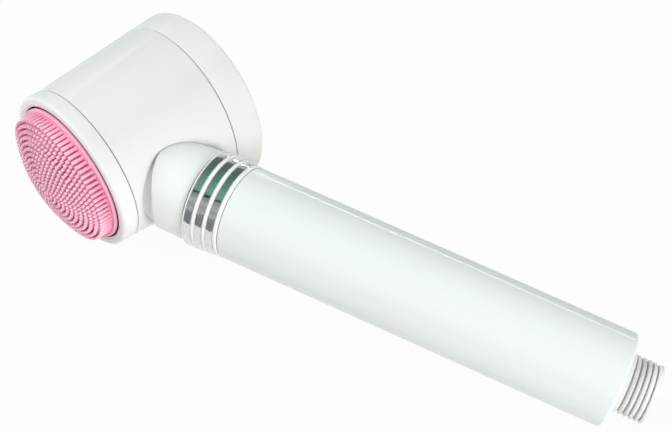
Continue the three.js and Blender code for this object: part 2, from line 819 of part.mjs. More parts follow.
const bandStarts = [];
for (let i = 0; i < bandCount; i++) {
  bandStarts.push(collarStartZ + collarTopEdge + i * (bandWidth + bandRib));
}
const collarUpperR = socketBoreR - seatGap;
const collarLowerR = handleBoreTopR - seatGap;
const handleSealZ = collarBottomZ - handleSealInset;

function makeNeckWasher() {
  return tube(collarUpperR, collarBoreR, socketFloorZ + seatGap, collarTopZ - seatGap, innerSides);
}

// one turned piece: a spigot into the neck, grooves for the bands and a spigot into the handle
function makeCollar() {
  const grooves = bandStarts.flatMap((z) => [
    [collarR(z), z],
    [collarR(z) - bandDepth, z],
    [collarR(z + bandWidth) - bandDepth, z + bandWidth],
    [collarR(z + bandWidth), z + bandWidth],
  ]);
  return turned([
    [collarBoreR, collarTopZ],
    [collarUpperR, collarTopZ],
    [collarUpperR, collarStartZ],
    [collarTopR, collarStartZ],
    ...grooves,
    [collarEndR, collarEndZ],
    [collarLowerR, collarEndZ],
    ...sealGroove(collarLowerR, handleSealZ),
    [collarLowerR, collarBottomZ],
    [collarBoreR, collarBottomZ],
  ], handleSides);
}

function makeBand(start) {
  const z0 = start + bandGap;
  const z1 = start + bandWidth - bandGap;
  return turned([
    [collarR(z0) - bandDepth + seatGap, z0],
    [collarR(z0), z0],
    [collarR(z1), z1],
    [collarR(z1) - bandDepth + seatGap, z1],
  ], handleSides);
}

// ---------------------------------------------------------------- handle, filter and inlet
function makeHandleTube() {
  const roundR = handleEndR - handleEndRound;
  return turned([
    [handleBoreTopR, handleTopZ],
    [handleTopR - edgeBreak, handleTopZ],
    [handleTopR, handleTopZ + edgeBreak],
    ...arc(roundR, handleEndZ - handleEndRound, handleEndRound, 0, 90),
    [inletHoleR, handleEndZ],
    [inletHoleR, handleEndWallZ],
    [handleBoreEndR, handleEndWallZ],
    [handleBoreTopR, collarBottomZ],
  ], handleSides);
}

// radius of the inlet's thread at a height and angle: its crest follows a right-hand helix
function threadAt(z, angle) {
  const turns = (z - threadStartZ) / threadPitch - angle / (2 * Math.PI);
  const wave = (1 + Math.cos(2 * Math.PI * turns)) / 2;
  const flatCrest = Math.min(1, wave * threadCrestShare);
  const toEnd = Math.min(1, (threadEndZ - z) / threadRunOut);
  const toStart = Math.min(1, (z - threadStartZ) / threadRunOut);
  return threadR - threadDepth * (1 - flatCrest * toEnd * toStart);
}

// the threaded inlet: a closed skin of rings, of which the thread's follow the helix
function makeHoseInlet() {
  const rowsPerTurn = 4;
  const rows = Math.round(threadLength / threadPitch * rowsPerTurn);
  const rebateR = inletBoreR + screenRebateWidth;
  const rings = [
    [inletBoreR, threadEndZ],
    [inletBoreR, inletInnerZ + screenRebate],
    [rebateR, inletInnerZ + screenRebate],
    [rebateR, inletInnerZ],
    [inletFlangeR, inletInnerZ],
    [inletFlangeR, inletFlangeZ],
    [threadRingR, inletFlangeZ],
    [threadRingR, threadStartZ - edgeBreak],
    [threadRingR - edgeBreak, threadStartZ],
  ];
  for (let i = 0; i <= rows; i++) {
    rings.push([threadAt, threadStartZ + threadLength * i / rows]);
  }
  const corner = (ring, side) => {
    const angle = 2 * Math.PI * side / threadSides;
    const [radius, z] = rings[ring % rings.length];
    const r = radius === threadAt ? threadAt(z, angle) : radius;
    return [r * Math.cos(angle), r * Math.sin(angle), z];
  };
  const positions = [];
  for (let ring = 0; ring < rings.length; ring++) {
    for (let side = 0; side < threadSides; side++) {
      const a = corner(ring, side);
      const b = corner(ring, side + 1);
      const c = corner(ring + 1, side + 1);
      const d = corner(ring + 1, side);
      positions.push(...a, ...b, ...c, ...a, ...c, ...d);
    }
  }
  const geometry = new THREE.BufferGeometry();
  geometry.setAttribute('position', new THREE.Float32BufferAttribute(positions, 3));
  return toSolid(geometry);
}

// seal round the inlet, between its flange and the handle's end wall
function makeInletSeal() {
  const wireR = sealSqueeze * sealWire / 2;
  return ringSeal(inletHoleR + wireR + sealWire / 2, (inletFlangeZ + handleEndWallZ) / 2);
}

function makeInletScreen() {
  const z0 = inletInnerZ + seatGap;
  const z1 = z0 + screenThickness;
  const places = [[0, 0], ...circlePlaces(screenHoleCircleR, screenHoles)];
  return rod(inletBoreR + screenRebateWidth - seatGap, z0, z1, smallSides)
    .subtract(roundPins(places, screenHoleR, z0 - cutPast, z1 + cutPast, 6));
}

// cap with the nipple that plugs into the collar
function makeFilterTopCap() {
  const boreR = filterBoreR - filterMediaStep;
  return turned([
    [boreR, filterTopZ - filterNippleLength],
    [filterNippleR, filterTopZ - filterNippleLength],
    ...sealGroove(filterNippleR, filterSealZ),
    [filterNippleR, filterTopZ],
    [filterCapR, filterTopZ],
    [filterCapR, filterTopZ + filterCapThickness],
    [boreR, filterTopZ + filterCapThickness],
  ], smallSides);
}

function makeFilterMedia() {
  return tube(filterR, filterBoreR, filterMediaTopZ, filterMediaEndZ, innerSides);
}

// cap that closes the felt's bore and stands on the inlet's flange with its feet
function makeFilterBottomCap() {
  const plugR = filterBoreR - seatGap;
  const cap = turned([
    [0, filterMediaEndZ - filterPlugLength],
    [plugR, filterMediaEndZ - filterPlugLength],
    [plugR, filterBottomCapZ],
    [filterCapR, filterBottomCapZ],
    [filterCapR, filterBottomCapZ + filterCapThickness],
    [0, filterBottomCapZ + filterCapThickness],
  ], smallSides);
  const footZ = filterBottomCapZ + filterCapThickness - joinDepth;
  const foot = block(filterFootDepth, filterFootWidth, footZ, filterFootZ)
    .translate([(inletFlangeR + inletBoreR + screenRebateWidth) / 2, 0, 0]);
  return cap.add(repeated(foot, filterFeet));
}

// ---------------------------------------------------------------- assembly
const head = new THREE.Group();
const handle = new THREE.Group();

function addPart(group, name, solid, material) {
  const mesh = new THREE.Mesh(toGeometry(solid), material);
  mesh.name = name;
  group.add(mesh);
}

addPart(head, 'head_shell', makeHeadShell(), whitePlastic);
addPart(head, 'bezel_ring', makeBezelRing(), creamPlastic);
addPart(head, 'rear_ring', makeRearRing(), creamPlastic);
addPart(head, 'spray_plate', makeSprayPlate(), innerPlastic);
addPart(head, 'spray_plate_seal', makeSprayPlateSeal(), sealRubber);
addPart(head, 'gear_cover', makeGearCover(), innerPlastic);
screwPlaces.forEach(([x, y], i) => {
  addPart(head, `cover_screw_${i + 1}`, panScrew().translate([x, y, coverFrontZ + bushGap]), steel);
});
const outputBush = flangedBush(brushBoreR, outputBushR, coverZ - edgeBreak, coverFrontZ + bushGap);
const shaftBush = flangedBush(thinBoreR, bushR, sealPocketFloorZ + bushGap, partitionFrontZ + bushGap);
const rearBush = tube(bushR, thinBoreR, rearBossZ - rearBushLength, rearBossZ + edgeBreak, smallSides);
addPart(head, 'output_bush', outputBush, brass);
addPart(head, 'shaft_bush', shaftBush, brass);
addPart(head, 'rear_bush', rearBush, brass);
addPart(head, 'shaft_seal', makeShaftSeal(), sealRubber);
addPart(head, 'idler_pin', makeIdlerPin(), steel);
addPart(head, 'jet_plate', makeJetPlate(), innerPlastic);

addPart(head, 'brush_pad', makeBrushPad(), pinkSilicone);
addPart(head, 'brush_carrier', makeBrushCarrier(), innerPlastic);
addPart(head, 'brush_screw', panScrew().translate([0, 0, carrierTopZ + bushGap]), steel);
addPart(head, 'brush_shaft', makeBrushShaft(), steel);
addPart(head, 'output_gear', makeOutputGear(), gearPlastic);
addPart(head, 'idler_gear', makeIdlerGear(), gearPlastic);
addPart(head, 'turbine_pinion', makeTurbinePinion(), gearPlastic);
addPart(head, 'turbine_shaft', makeTurbineShaft(), steel);
addPart(head, 'turbine_wheel', makeTurbineWheel(), gearPlastic);

addPart(handle, 'neck_sleeve', makeNeckSleeve(), whitePlastic);
addPart(handle, 'neck_washer', makeNeckWasher(), sealRubber);
addPart(handle, 'collar', makeCollar(), whitePlastic);
bandStarts.forEach((start, i) => addPart(handle, `chrome_ring_${i + 1}`, makeBand(start), chrome));
addPart(handle, 'handle_seal', ringSeal(collarLowerR, handleSealZ), sealRubber);
addPart(handle, 'handle_tube', makeHandleTube(), whitePlastic);
addPart(handle, 'filter_top_cap', makeFilterTopCap(), innerPlastic);
addPart(handle, 'filter_seal', ringSeal(filterNippleR, filterSealZ), sealRubber);
addPart(handle, 'filter_media', makeFilterMedia(), filterFelt);
addPart(handle, 'filter_bottom_cap', makeFilterBottomCap(), innerPlastic);
addPart(handle, 'inlet_screen', makeInletScreen(), steel);
addPart(handle, 'inlet_seal', makeInletSeal(), sealRubber);
addPart(handle, 'hose_inlet', makeHoseInlet(), threadPlastic);

// both groups share one frame: x along the handle, y across it towards the spray side, z up
handle.rotation.set(Math.PI / 2, Math.PI / 2, 0);
head.rotation.set(Math.PI / 2, 0, -leanAngle, 'ZXY');
const sprayer = new THREE.Group();
sprayer.add(head, handle);

// It lies on its side on both rims of the drum and on the handle's end. The way down is square to
// the plane through the three lowest points of those rims, found by going round a few times.
const drumAxis = new THREE.Vector3(-Math.sin(leanAngle), -Math.cos(leanAngle), 0);
const handleAxis = new THREE.Vector3(1, 0, 0);
const rims = [
  [drumAxis.clone().multiplyScalar(drumFrontZ), drumAxis, drumFrontR],
  [drumAxis.clone().multiplyScalar(rearRimZ), drumAxis, rearRimR],
  [handleAxis.clone().multiplyScalar(handleEndZ - handleEndRound), handleAxis, handleEndR],
];

function lowestPoint([centre, axis, r], down) {
  const across = down.clone().addScaledVector(axis, -axis.dot(down)).normalize();
  return centre.clone().addScaledVector(across, r);
}

const down = new THREE.Vector3(0, 0, -1);
for (let round = 0; round < 12; round++) {
  const [a, b, c] = rims.map((rim) => lowestPoint(rim, down));
  down.crossVectors(b.sub(a), c.sub(a)).normalize();
  if (down.z > 0) {
    down.negate();
  }
}
const up = down.clone().negate();
const ahead = handleAxis.clone().addScaledVector(up, -up.dot(handleAxis)).normalize();
const side = new THREE.Vector3().crossVectors(up, ahead);
const lying = new THREE.Matrix4().makeBasis(ahead, side, up).invert();
sprayer.quaternion.setFromRotationMatrix(lying);

// origin under the middle of its box, on the floor
const object = new THREE.Group();
object.add(sprayer);
object.updateMatrixWorld(true);
const box = new THREE.Box3().setFromObject(object, true);
sprayer.position.set(-(box.min.x + box.max.x) / 2, -(box.min.y + box.max.y) / 2, -box.min.z);

export default object;
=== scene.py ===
"""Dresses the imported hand-held bath sprayer: a drum head with a turning silicone brush in front and a
spray plate behind, on a long white handle that ends in a hose thread.

Profiles are in millimetres, in two frames. The head's has z along the drum's axis, towards the brush,
and x towards the neck. The handle's has z from the drum's axis towards the thread. Both share y.
"""
import json
import math

import bmesh
import bpy
from mathutils import Matrix, Vector


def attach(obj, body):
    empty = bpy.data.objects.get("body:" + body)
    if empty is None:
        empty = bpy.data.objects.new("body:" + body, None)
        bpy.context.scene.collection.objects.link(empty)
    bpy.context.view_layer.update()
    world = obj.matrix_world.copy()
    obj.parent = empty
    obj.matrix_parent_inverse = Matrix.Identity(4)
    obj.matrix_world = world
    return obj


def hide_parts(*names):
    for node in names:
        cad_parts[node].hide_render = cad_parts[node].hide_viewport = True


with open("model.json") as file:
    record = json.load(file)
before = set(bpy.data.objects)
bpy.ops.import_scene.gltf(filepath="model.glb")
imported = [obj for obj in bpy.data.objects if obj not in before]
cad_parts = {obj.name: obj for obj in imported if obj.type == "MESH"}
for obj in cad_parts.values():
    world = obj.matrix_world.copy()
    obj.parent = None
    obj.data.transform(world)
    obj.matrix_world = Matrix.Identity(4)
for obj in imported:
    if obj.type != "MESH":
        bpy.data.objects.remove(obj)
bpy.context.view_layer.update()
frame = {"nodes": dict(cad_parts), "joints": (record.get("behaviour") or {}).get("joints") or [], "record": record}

MM = 0.001

# ---------------------------------------- frames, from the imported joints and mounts
def column_matrix(x, y, z, origin):
    """A frame in which one unit is a millimetre."""
    rows = Matrix((x * MM, y * MM, z * MM)).transposed().to_4x4()
    rows.translation = origin
    return rows


BRUSH_JOINT = next(joint for joint in frame["joints"] if joint["name"] == "brush_spin")
THREAD_MOUNT = next(m for m in frame["record"]["mounts"] if m["name"] == "hose_thread_end")
CENTRE = Vector(BRUSH_JOINT["pos_m"])  # where the drum's axis meets the handle's
DRUM_AXIS = Vector(BRUSH_JOINT["axis"]).normalized()
HANDLE_AXIS = Vector(THREAD_MOUNT["axis"]).normalized()
HEAD_X = (HANDLE_AXIS - DRUM_AXIS * HANDLE_AXIS.dot(DRUM_AXIS)).normalized()
SIDE_AXIS = DRUM_AXIS.cross(HEAD_X)  # square to both axes, nearly up
SPRAY_SIDE = SIDE_AXIS.cross(HANDLE_AXIS)
HEAD = column_matrix(HEAD_X, SIDE_AXIS, DRUM_AXIS, CENTRE)
HANDLE = column_matrix(SPRAY_SIDE, SIDE_AXIS, HANDLE_AXIS, CENTRE)

# ---------------------------------------- sizes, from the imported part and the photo
SEAT_GAP = 0.3  # between pieces that are put together
REAR_SEAM_GAP = 0.36  # between the drum and the rear ring, a little wider than at the front
DRUM_FRONT_Z, DRUM_BACK_Z = 11.0, -36.5
DRUM_FRONT_R, DRUM_BACK_R = 33.75, 38.75
LIP_R, LIP_END_Z = 32.2, 14.5
GEAR_ROOM_R, WATER_ROOM_R, TURBINE_ROOM_R = 30.6, 33.0, 34.0
PARTITION_FRONT_Z, PARTITION_BACK_Z = 0.5, -2.0
SEAL_BOSS_R, SEAL_BOSS_END_Z = 7.5, -6.0
SEAL_POCKET_R, SEAL_POCKET_Z = 5.0, -3.0
BUSH_HOLE_R = 3.0
JET_SEAT_Z = -22.7
REAR_SPIGOT_R, REAR_SPIGOT_END_Z = 36.3, -44.0

BEZEL_FRONT_Z = 18.0
BEZEL_SIDE_R = 33.65
OPENING_R = 29.75
REAR_RING_BACK_Z = -50.5
REAR_RIM_R = 40.1
REAR_LIP_R = 33.2
REAR_LIP_Z = -49.0

PAD_R = 29.05
PAD_EDGE_Z, PAD_FLANGE_Z = 15.0, 18.9
PAD_SHADE_Z = 17.65  # its side has painted shade up to here, in the gap to the bezel
PAD_UNDER_R, PAD_UNDER_Z = 28.4, 15.9
PAD_FLAT_R, PAD_FLAT_UNDER_Z = 12.0, 21.15
BRUSH_CROWN = 6.5
BRISTLE_REACH = 5.0

SPRAY_FACE_Z, SPRAY_FLOOR_Z = -50.2, -47.2
SPRAY_FACE_R = 32.9
SPRAY_WALL_R = 30.9
SPRAY_FLANGE_R, SPRAY_FLANGE_Z = 35.7, -48.7
SPRAY_TOP_Z = -46.0
REAR_BOSS_R, REAR_BOSS_Z, REAR_POCKET_Z = 4.7, -38.2, -42.4

NECK_R, NECK_INNER_R = 19.0, 17.3
SOCKET_R, SOCKET_BORE_R, SOCKET_FLOOR_Z = 17.0, 14.6, 41.2
NECK_BORE_R = 6.2
NECK_ROOT_Z, NECK_END_Z = WATER_ROOM_R - 6, 50.2
SOCKET_SINK = 1.0  # how deep the socket is set into the drum's wall
SLEEVE_END_Z = 49.55
SLEEVE_GAP = 0.55  # between the sleeve's round cut and the drum
SADDLE_R, SADDLE_Z = 23.0, 18.0
COLLAR_START_Z, COLLAR_END_Z = 50.5, 65.0
COLLAR_TOP_R, COLLAR_END_R = 20.3, 19.2
COLLAR_BORE_R = 9.0
COLLAR_UPPER_R, COLLAR_TOP_Z = 14.3, 43.3
COLLAR_LOWER_R, COLLAR_BOTTOM_Z = 16.5, 77.0
BAND_WIDTH, BAND_PITCH, BAND_OFFSET, BAND_DEPTH = 3.2, 4.65, 0.5, 1.4
BAND_COUNT = 3
BAND_PLAY, BAND_SINK = 0.1, 0.05  # beside a band in its groove, and below the collar's surface

HANDLE_TOP_Z, HANDLE_END_Z = 65.3, 214.7
HANDLE_TOP_R, HANDLE_END_R = 19.0, 17.25
HANDLE_WALL, HANDLE_END_WALL = 2.2, 3.6
INLET_HOLE_R = 11.15
THREAD_R, THREAD_DEPTH, THREAD_PITCH = 10.48, 1.16, 1.814
THREAD_START_Z, THREAD_END_Z = 216.6, 226.2
THREAD_RUN_IN, THREAD_RUN_OUT = 0.15, 0.5  # how soon the groove deepens, and fades out
THREAD_PLAIN_END, THREAD_CHAMFER = 0.75, 0.5
GROOVE_PHASE = -0.057  # in turns
GROOVE_HALF_WIDTH = 0.3  # in pitches
GROOVE_CURVE = 0.8  # power of its flanks, 1 when straight
THREAD_RING_R = 10.85
INLET_BORE_R = 7.4
INLET_FLANGE_R, INLET_FLANGE_Z, INLET_INNER_Z = 13.6, 208.6, 205.0
SCREEN_REBATE, SCREEN_REBATE_WIDTH = 1.9, 1.8
SCREEN_R, SCREEN_Z, SCREEN_THICKNESS = 8.9, 205.3, 1.0
SCREEN_RIM = 1.1

FINE_SIDES = 192
INNER_SIDES = 96
CUT_PAST = 1.0  # how far a cutting tool reaches past what it cuts
CRISP_ANGLE = 32  # in degrees, above which an edge stays crisp
AXIS_R = 1e-6  # a profile's point nearer than this to its axis is on it
FILLET_SHARE = 0.48  # a fillet takes no more of an edge than this share


# ---------------------------------------- mesh helpers
def new_object(name, vertices, faces, matrix):
    mesh = bpy.data.meshes.new(name)
    mesh.from_pydata([matrix @ Vector(v) for v in vertices], [], faces)
    mesh.validate()
    obj = bpy.data.objects.new(name, mesh)
    bpy.context.scene.collection.objects.link(obj)
    return obj


def outward(obj):
    """Turns a closed mesh's faces outwards."""
    shape = bmesh.new()
    shape.from_mesh(obj.data)
    bmesh.ops.recalc_face_normals(shape, faces=shape.faces)
    shape.to_mesh(obj.data)
    shape.free()


def smooth(obj, angle=CRISP_ANGLE):
    """Smooth shading, with the edges sharper than an angle in degrees left crisp."""
    outward(obj)
    obj.data.shade_smooth()
    obj.data.set_sharp_from_angle(angle=math.radians(angle))
    return obj


def filleted(corners, steps=5):
    """Points of a closed profile whose corners (radius, height, fillet) are rounded."""
    points = []
    count = len(corners)
    for i, corner in enumerate(corners):
        here = Vector(corner[:2])
        fillet = corner[2] if len(corner) > 2 else 0
        if not fillet:
            points.append(tuple(here))
            continue
        before = Vector(corners[i - 1][:2]) - here
        after = Vector(corners[(i + 1) % count][:2]) - here
        half = before.angle(after) / 2
        longest = FILLET_SHARE * min(before.length, after.length)
        reach = min(fillet / math.tan(half), longest)
        radius = reach * math.tan(half)
        before.normalize()
        after.normalize()
        centre = here + (before + after).normalized() * radius / math.sin(half)
        first = here + before * reach - centre
        last = here + after * reach - centre
        turn = first.angle(last)
        for k in range(steps + 1):
            share = k / steps
            spoke = first * math.sin((1 - share) * turn) + last * math.sin(share * turn)
            points.append(tuple(centre + spoke / math.sin(turn)))
    return points


def turned(name, corners, matrix, sides=FINE_SIDES, angle=CRISP_ANGLE):
    """A closed profile of (radius, height[, fillet]) turned about z."""
    points = filleted(corners)
    vertices = []
    rings = []
    for r, z in points:
        if r < AXIS_R:
            rings.append([len(vertices)] * sides)
            vertices.append((0, 0, z))
            continue
        rings.append([len(vertices) + k for k in range(sides)])
        for k in range(sides):
            turn = 2 * math.pi * k / sides
            vertices.append((r * math.cos(turn), r * math.sin(turn), z))
    faces = []
    on_axis = points[0][0] < AXIS_R and points[-1][0] < AXIS_R
    for i in range(len(rings) - (1 if on_axis else 0)):
        here, there = rings[i], rings[(i + 1) % len(rings)]
        for k in range(sides):
            face = []
            for index in (here[k], here[(k + 1) % sides], there[(k + 1) % sides], there[k]):
                if index not in face:
                    face.append(index)
            if len(face) > 2:
                faces.append(face)
    return smooth(new_object(name, vertices, faces, matrix), angle)


def rod(name, r, z0, z1, matrix, sides=FINE_SIDES):
    return turned(name, [(0, z0), (r, z0), (r, z1), (0, z1)], matrix, sides)


def tube_faces(rings, sides, start=0, closed=False):
    """Faces between rings of vertices that follow each other, from the vertex numbered start."""
    faces = []
    for i in range(rings if closed else rings - 1):
        low = start + i * sides
        high = start + (i + 1) % rings * sides
        for k in range(sides):
            n = (k + 1) % sides
            faces.append((low + k, low + n, high + n, high + k))
    return faces


def settle(obj):
    """Applies an object's modifiers to its mesh."""
    bpy.context.view_layer.update()
    evaluated = obj.evaluated_get(bpy.context.evaluated_depsgraph_get())
    mesh = bpy.data.meshes.new_from_object(evaluated)
    obj.modifiers.clear()
    old = obj.data
    obj.data = mesh
    bpy.data.meshes.remove(old)


def combine(obj, tool, operation):
    """Joins or cuts obj with tool, which is used up."""
    modifier = obj.modifiers.new("combine", "BOOLEAN")
    modifier.operation = operation
    modifier.solver = "EXACT"
    modifier.object = tool
    settle(obj)
    bpy.data.objects.remove(tool)


def join(name, objects):
    """One object with the meshes of several."""
    shape = bmesh.new()
    for obj in objects:
        shape.from_mesh(obj.data)
        bpy.data.objects.remove(obj)
    mesh = bpy.data.meshes.new(name)
    shape.to_mesh(mesh)
    shape.free()
    obj = bpy.data.objects.new(name, mesh)
    bpy.context.scene.collection.objects.link(obj)
    return obj


def bevel(obj, width):
    """Rounds an object's sharp edges by a width in millimetres."""
    modifier = obj.modifiers.new("edges", "BEVEL")
    modifier.width = width * MM
    modifier.segments = 3
    modifier.limit_method = "ANGLE"
    modifier.angle_limit = math.radians(35)
    settle(obj)
    smooth(obj, 50)


# ---------------------------------------- materials
NOISE_LOW, NOISE_HIGH = 0.3, 0.7  # most values of a noise texture lie between these


def principled(name, color, roughness, **sockets):
    material = bpy.data.materials.new(name)
    material.use_nodes = True
    shader = material.node_tree.nodes["Principled BSDF"]
    shader.inputs["Base Color"].default_value = (*color, 1)
    shader.inputs["Roughness"].default_value = roughness
    for socket, value in sockets.items():
        shader.inputs[socket.replace("_", " ")].default_value = value
    return material, shader


def noise(material, scale, detail=3.0):
    """A noise texture in object space. scale is in waves per metre."""
    nodes, links = material.node_tree.nodes, material.node_tree.links
    place = nodes.new("ShaderNodeTexCoord")
    texture = nodes.new("ShaderNodeTexNoise")
    texture.inputs["Scale"].default_value = scale
    texture.inputs["Detail"].default_value = detail
    links.new(place.outputs["Object"], texture.inputs["Vector"])
    return texture.outputs["Fac"]


def color_ramp(nodes, stops):
    """A colour ramp with stops of (position, colour)."""
    ramp = nodes.new("ShaderNodeValToRGB")
    elements = ramp.color_ramp.elements
    while len(elements) < len(stops):
        elements.new(0.5)
    for element, (position, color) in zip(elements, stops):
        element.position = position
        element.color = (*color, 1)
    return ramp


def color_by(material, shader, factor, stops):
    """Base colour from a factor, by a ramp's stops."""
    links = material.node_tree.links
    ramp = color_ramp(material.node_tree.nodes, stops)
    links.new(factor, ramp.inputs["Fac"])
    links.new(ramp.outputs["Color"], shader.inputs["Base Color"])


def vary_color(material, shader, factor, low, high):
    """Base colour between two tints, by a factor."""
    color_by(material, shader, factor, ((NOISE_LOW, low), (NOISE_HIGH, high)))


def vary_roughness(material, shader, factor, low, high):
    nodes, links = material.node_tree.nodes, material.node_tree.links
    span = nodes.new("ShaderNodeMapRange")
    span.inputs["From Min"].default_value = NOISE_LOW
    span.inputs["From Max"].default_value = NOISE_HIGH
    span.inputs["To Min"].default_value = low
    span.inputs["To Max"].default_value = high
    links.new(factor, span.inputs["Value"])
    links.new(span.outputs["Result"], shader.inputs["Roughness"])


def bump(material, shader, factor, strength, depth):
    """Bump from a factor; depth is in metres."""
    nodes, links = material.node_tree.nodes, material.node_tree.links
    node = nodes.new("ShaderNodeBump")
    node.inputs["Strength"].default_value = strength
    node.inputs["Distance"].default_value = depth
    links.new(factor, node.inputs["Height"])
    links.new(node.outputs["Normal"], shader.inputs["Normal"])


def stored_share(material, name, waves, drift):
    """A share stored in the mesh, plus a drift of noise with so many waves per metre."""
    nodes, links = material.node_tree.nodes, material.node_tree.links
    stored = nodes.new("ShaderNodeAttribute")
    stored.attribute_name = name
    total = nodes.new("ShaderNodeMath")
    total.operation = "MULTIPLY_ADD"
    total.inputs[1].default_value = drift
    links.new(noise(material, waves), total.inputs[0])
    links.new(stored.outputs["Fac"], total.inputs[2])
    return total.outputs["Value"]


def moulded_plastic(name, low, high, roughness):
    """Glossy moulded plastic: a faint drift of tint, uneven gloss and a slight moulding ripple."""
    material, shader = principled(name, low, roughness, IOR=1.49)
    vary_color(material, shader, noise(material, 14, 2), low, high)
    vary_roughness(material, shader, noise(material, 60, 4), roughness * 0.8, roughness * 1.25)
    bump(material, shader, noise(material, 220, 2), 0.3, 0.00002)
    return material


TIP_SHARE = "tip_share"  # for the silicone's painted shade and light: 0 at the pad, 1 at a bristle's tip, below 0 in the gap round the pad
GROOVE_SHARE = "groove_share"  # 0 on the thread's crest, 1 at its root, for the painted shade in the groove


def silicone(name):
    """Soft silicone, with painted shade at the bristles' roots and in the gap round the pad, and painted light
    towards their tips.
    """
    material, shader = principled(
        name, (0.92, 0.42, 0.57), 0.4, IOR=1.42, Specular_IOR_Level=0.12,
        Subsurface_Weight=0.15, Subsurface_Scale=0.001)
    shader.inputs["Subsurface Radius"].default_value = (1.0, 0.45, 0.5)
    color_by(material, shader, stored_share(material, TIP_SHARE, 120, 0.25), (
        # painted shadow in the gap, painted shade at the roots, painted light at the tips
        (0.0, (0.26, 0.11, 0.14)),
        (0.03, (0.95, 0.31, 0.465)),
        (1.0, (0.99, 0.575, 0.715)),
    ))
    vary_roughness(material, shader, noise(material, 500), 0.32, 0.48)
    bump(material, shader, noise(material, 2500), 0.25, 0.00003)
    return material


def polished_chrome(name):
    material, shader = principled(name, (0.74, 0.76, 0.76), 0.05, Metallic=1.0)
    vary_color(material, shader, noise(material, 900, 4), (0.64, 0.67, 0.67), (0.78, 0.80, 0.80))
    vary_roughness(material, shader, noise(material, 400, 4), 0.03, 0.1)
    bump(material, shader, noise(material, 450), 1.0, 0.00006)
    return material


def thread_white(name):
    """Turned white plastic, with painted shade where it is deep in the thread."""
    material, shader = principled(name, (0.88, 0.88, 0.86), 0.3, IOR=1.49)
    color_by(material, shader, stored_share(material, GROOVE_SHARE, 300, 0.15), (
        # painted shade, from the crest down into the groove
        (0.12, (0.95, 0.95, 0.94)),
        (0.4, (0.90, 0.90, 0.89)),
        (0.95, (0.82, 0.81, 0.79)),
    ))
    vary_roughness(material, shader, noise(material, 400), 0.24, 0.38)
    bump(material, shader, noise(material, 1500, 2), 0.2, 0.00001)
    return material


def machined_metal(name, low, high, roughness):
    material, shader = principled(name, low, roughness, Metallic=1.0)
    vary_color(material, shader, noise(material, 300, 4), low, high)
    vary_roughness(material, shader, noise(material, 1500, 4), roughness * 0.8, roughness * 1.3)
    bump(material, shader, noise(material, 3000, 2), 0.2, 0.00001)
    return material


def matt_material(name, low, high, roughness, grain, depth):
    """A matt surface with a grain, in waves per metre, of a depth in metres."""
    material, shader = principled(name, low, roughness)
    vary_color(material, shader, noise(material, grain / 6, 4), low, high)
    rough_low, rough_high = roughness * 0.9, min(1, roughness * 1.1)
    vary_roughness(material, shader, noise(material, grain), rough_low, rough_high)
    bump(material, shader, noise(material, grain, 4), 0.5, depth)
    return material


MATERIALS = {
    "white_plastic": moulded_plastic("white_plastic", (0.81, 0.84, 0.82), (0.84, 0.845, 0.82), 0.1),
    "cream_plastic": moulded_plastic("cream_plastic", (0.82, 0.84, 0.81), (0.86, 0.855, 0.825), 0.14),
    "inner_plastic": matt_material(
        "inner_plastic", (0.68, 0.70, 0.69), (0.74, 0.75, 0.74), 0.5, 900, 0.00002),
    "pink_silicone": silicone("pink_silicone"),
    "chrome": polished_chrome("chrome"),
    "steel": machined_metal("steel", (0.50, 0.52, 0.54), (0.60, 0.61, 0.62), 0.28),
    "brass": machined_metal("brass", (0.62, 0.42, 0.16), (0.72, 0.50, 0.20), 0.32),
    "gear_plastic": matt_material(
        "gear_plastic", (0.74, 0.70, 0.58), (0.80, 0.77, 0.66), 0.42, 700, 0.00001),
    "seal_rubber": matt_material(
        "seal_rubber", (0.018, 0.019, 0.02), (0.03, 0.03, 0.031), 0.65, 1200, 0.00002),
    "thread_plastic": thread_white("thread_plastic"),
    "filter_felt": matt_material(
        "filter_felt", (0.82, 0.80, 0.74), (0.90, 0.88, 0.84), 0.95, 2200, 0.0003),
}
HANDLE_PLASTIC = moulded_plastic("handle_plastic", (0.83, 0.88, 0.875), (0.85, 0.89, 0.895), 0.06)
# the bezel's own warm white, made a little paler than the drum's to make up for the dim light on its front: partly
# painted light
BEZEL_PLASTIC = moulded_plastic("bezel_plastic", (0.855, 0.875, 0.845), (0.89, 0.885, 0.855), 0.14)
NECK_PLASTIC = moulded_plastic("neck_plastic", (0.86, 0.90, 0.87), (0.88, 0.91, 0.88), 0.1)
COLLAR_PLASTIC = moulded_plastic("collar_plastic", (0.92, 0.935, 0.925), (0.94, 0.95, 0.94), 0.1)
# painted light: the socket's faces in the shaded recess round the neck, paler than the drum
SOCKET_PAINTED_LIGHT = moulded_plastic("socket_painted_light", (0.90, 0.91, 0.89), (0.93, 0.94, 0.92), 0.3)
# painted shade for faces deep in the seams and gaps
SEAM_SHADE = matt_material("seam_shade", (0.11, 0.115, 0.11), (0.16, 0.165, 0.16), 0.8, 900, 0.00001)
NODE_SLOTS = {part["node"]: part["material_slot"] for part in frame["record"]["subparts"]}


def dress(obj, body, slot, *nodes, material=None):
    """Gives a piece its finish, the body that it rides on and the CAD nodes that it stands for."""
    obj.data.materials.clear()
    obj.data.materials.append(material or MATERIALS[slot])
    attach(obj, body)
    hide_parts(*nodes)


def near(*radii, within=0.05):
    """Picks faces that lie at one of some radii."""
    return lambda r, z: any(abs(r - radius) < within for radius in radii)


def tint_faces(obj, material, place, picks):
    """Gives a second material to the faces that picks(radius, height) names in a frame: here painted shade in the
    seams and painted light on the socket.
    """
    obj.data.materials.append(material)
    index = len(obj.data.materials) - 1
    into = place.inverted()
    for face in obj.data.polygons:
        x, y, z = into @ face.center
        if picks(math.hypot(x, y), z):
            face.material_index = index


# ---------------------------------------- head: housing
def drum_radius(z):
    share = (DRUM_FRONT_Z - z) / (DRUM_FRONT_Z - DRUM_BACK_Z)
    return DRUM_FRONT_R + (DRUM_BACK_R - DRUM_FRONT_R) * share


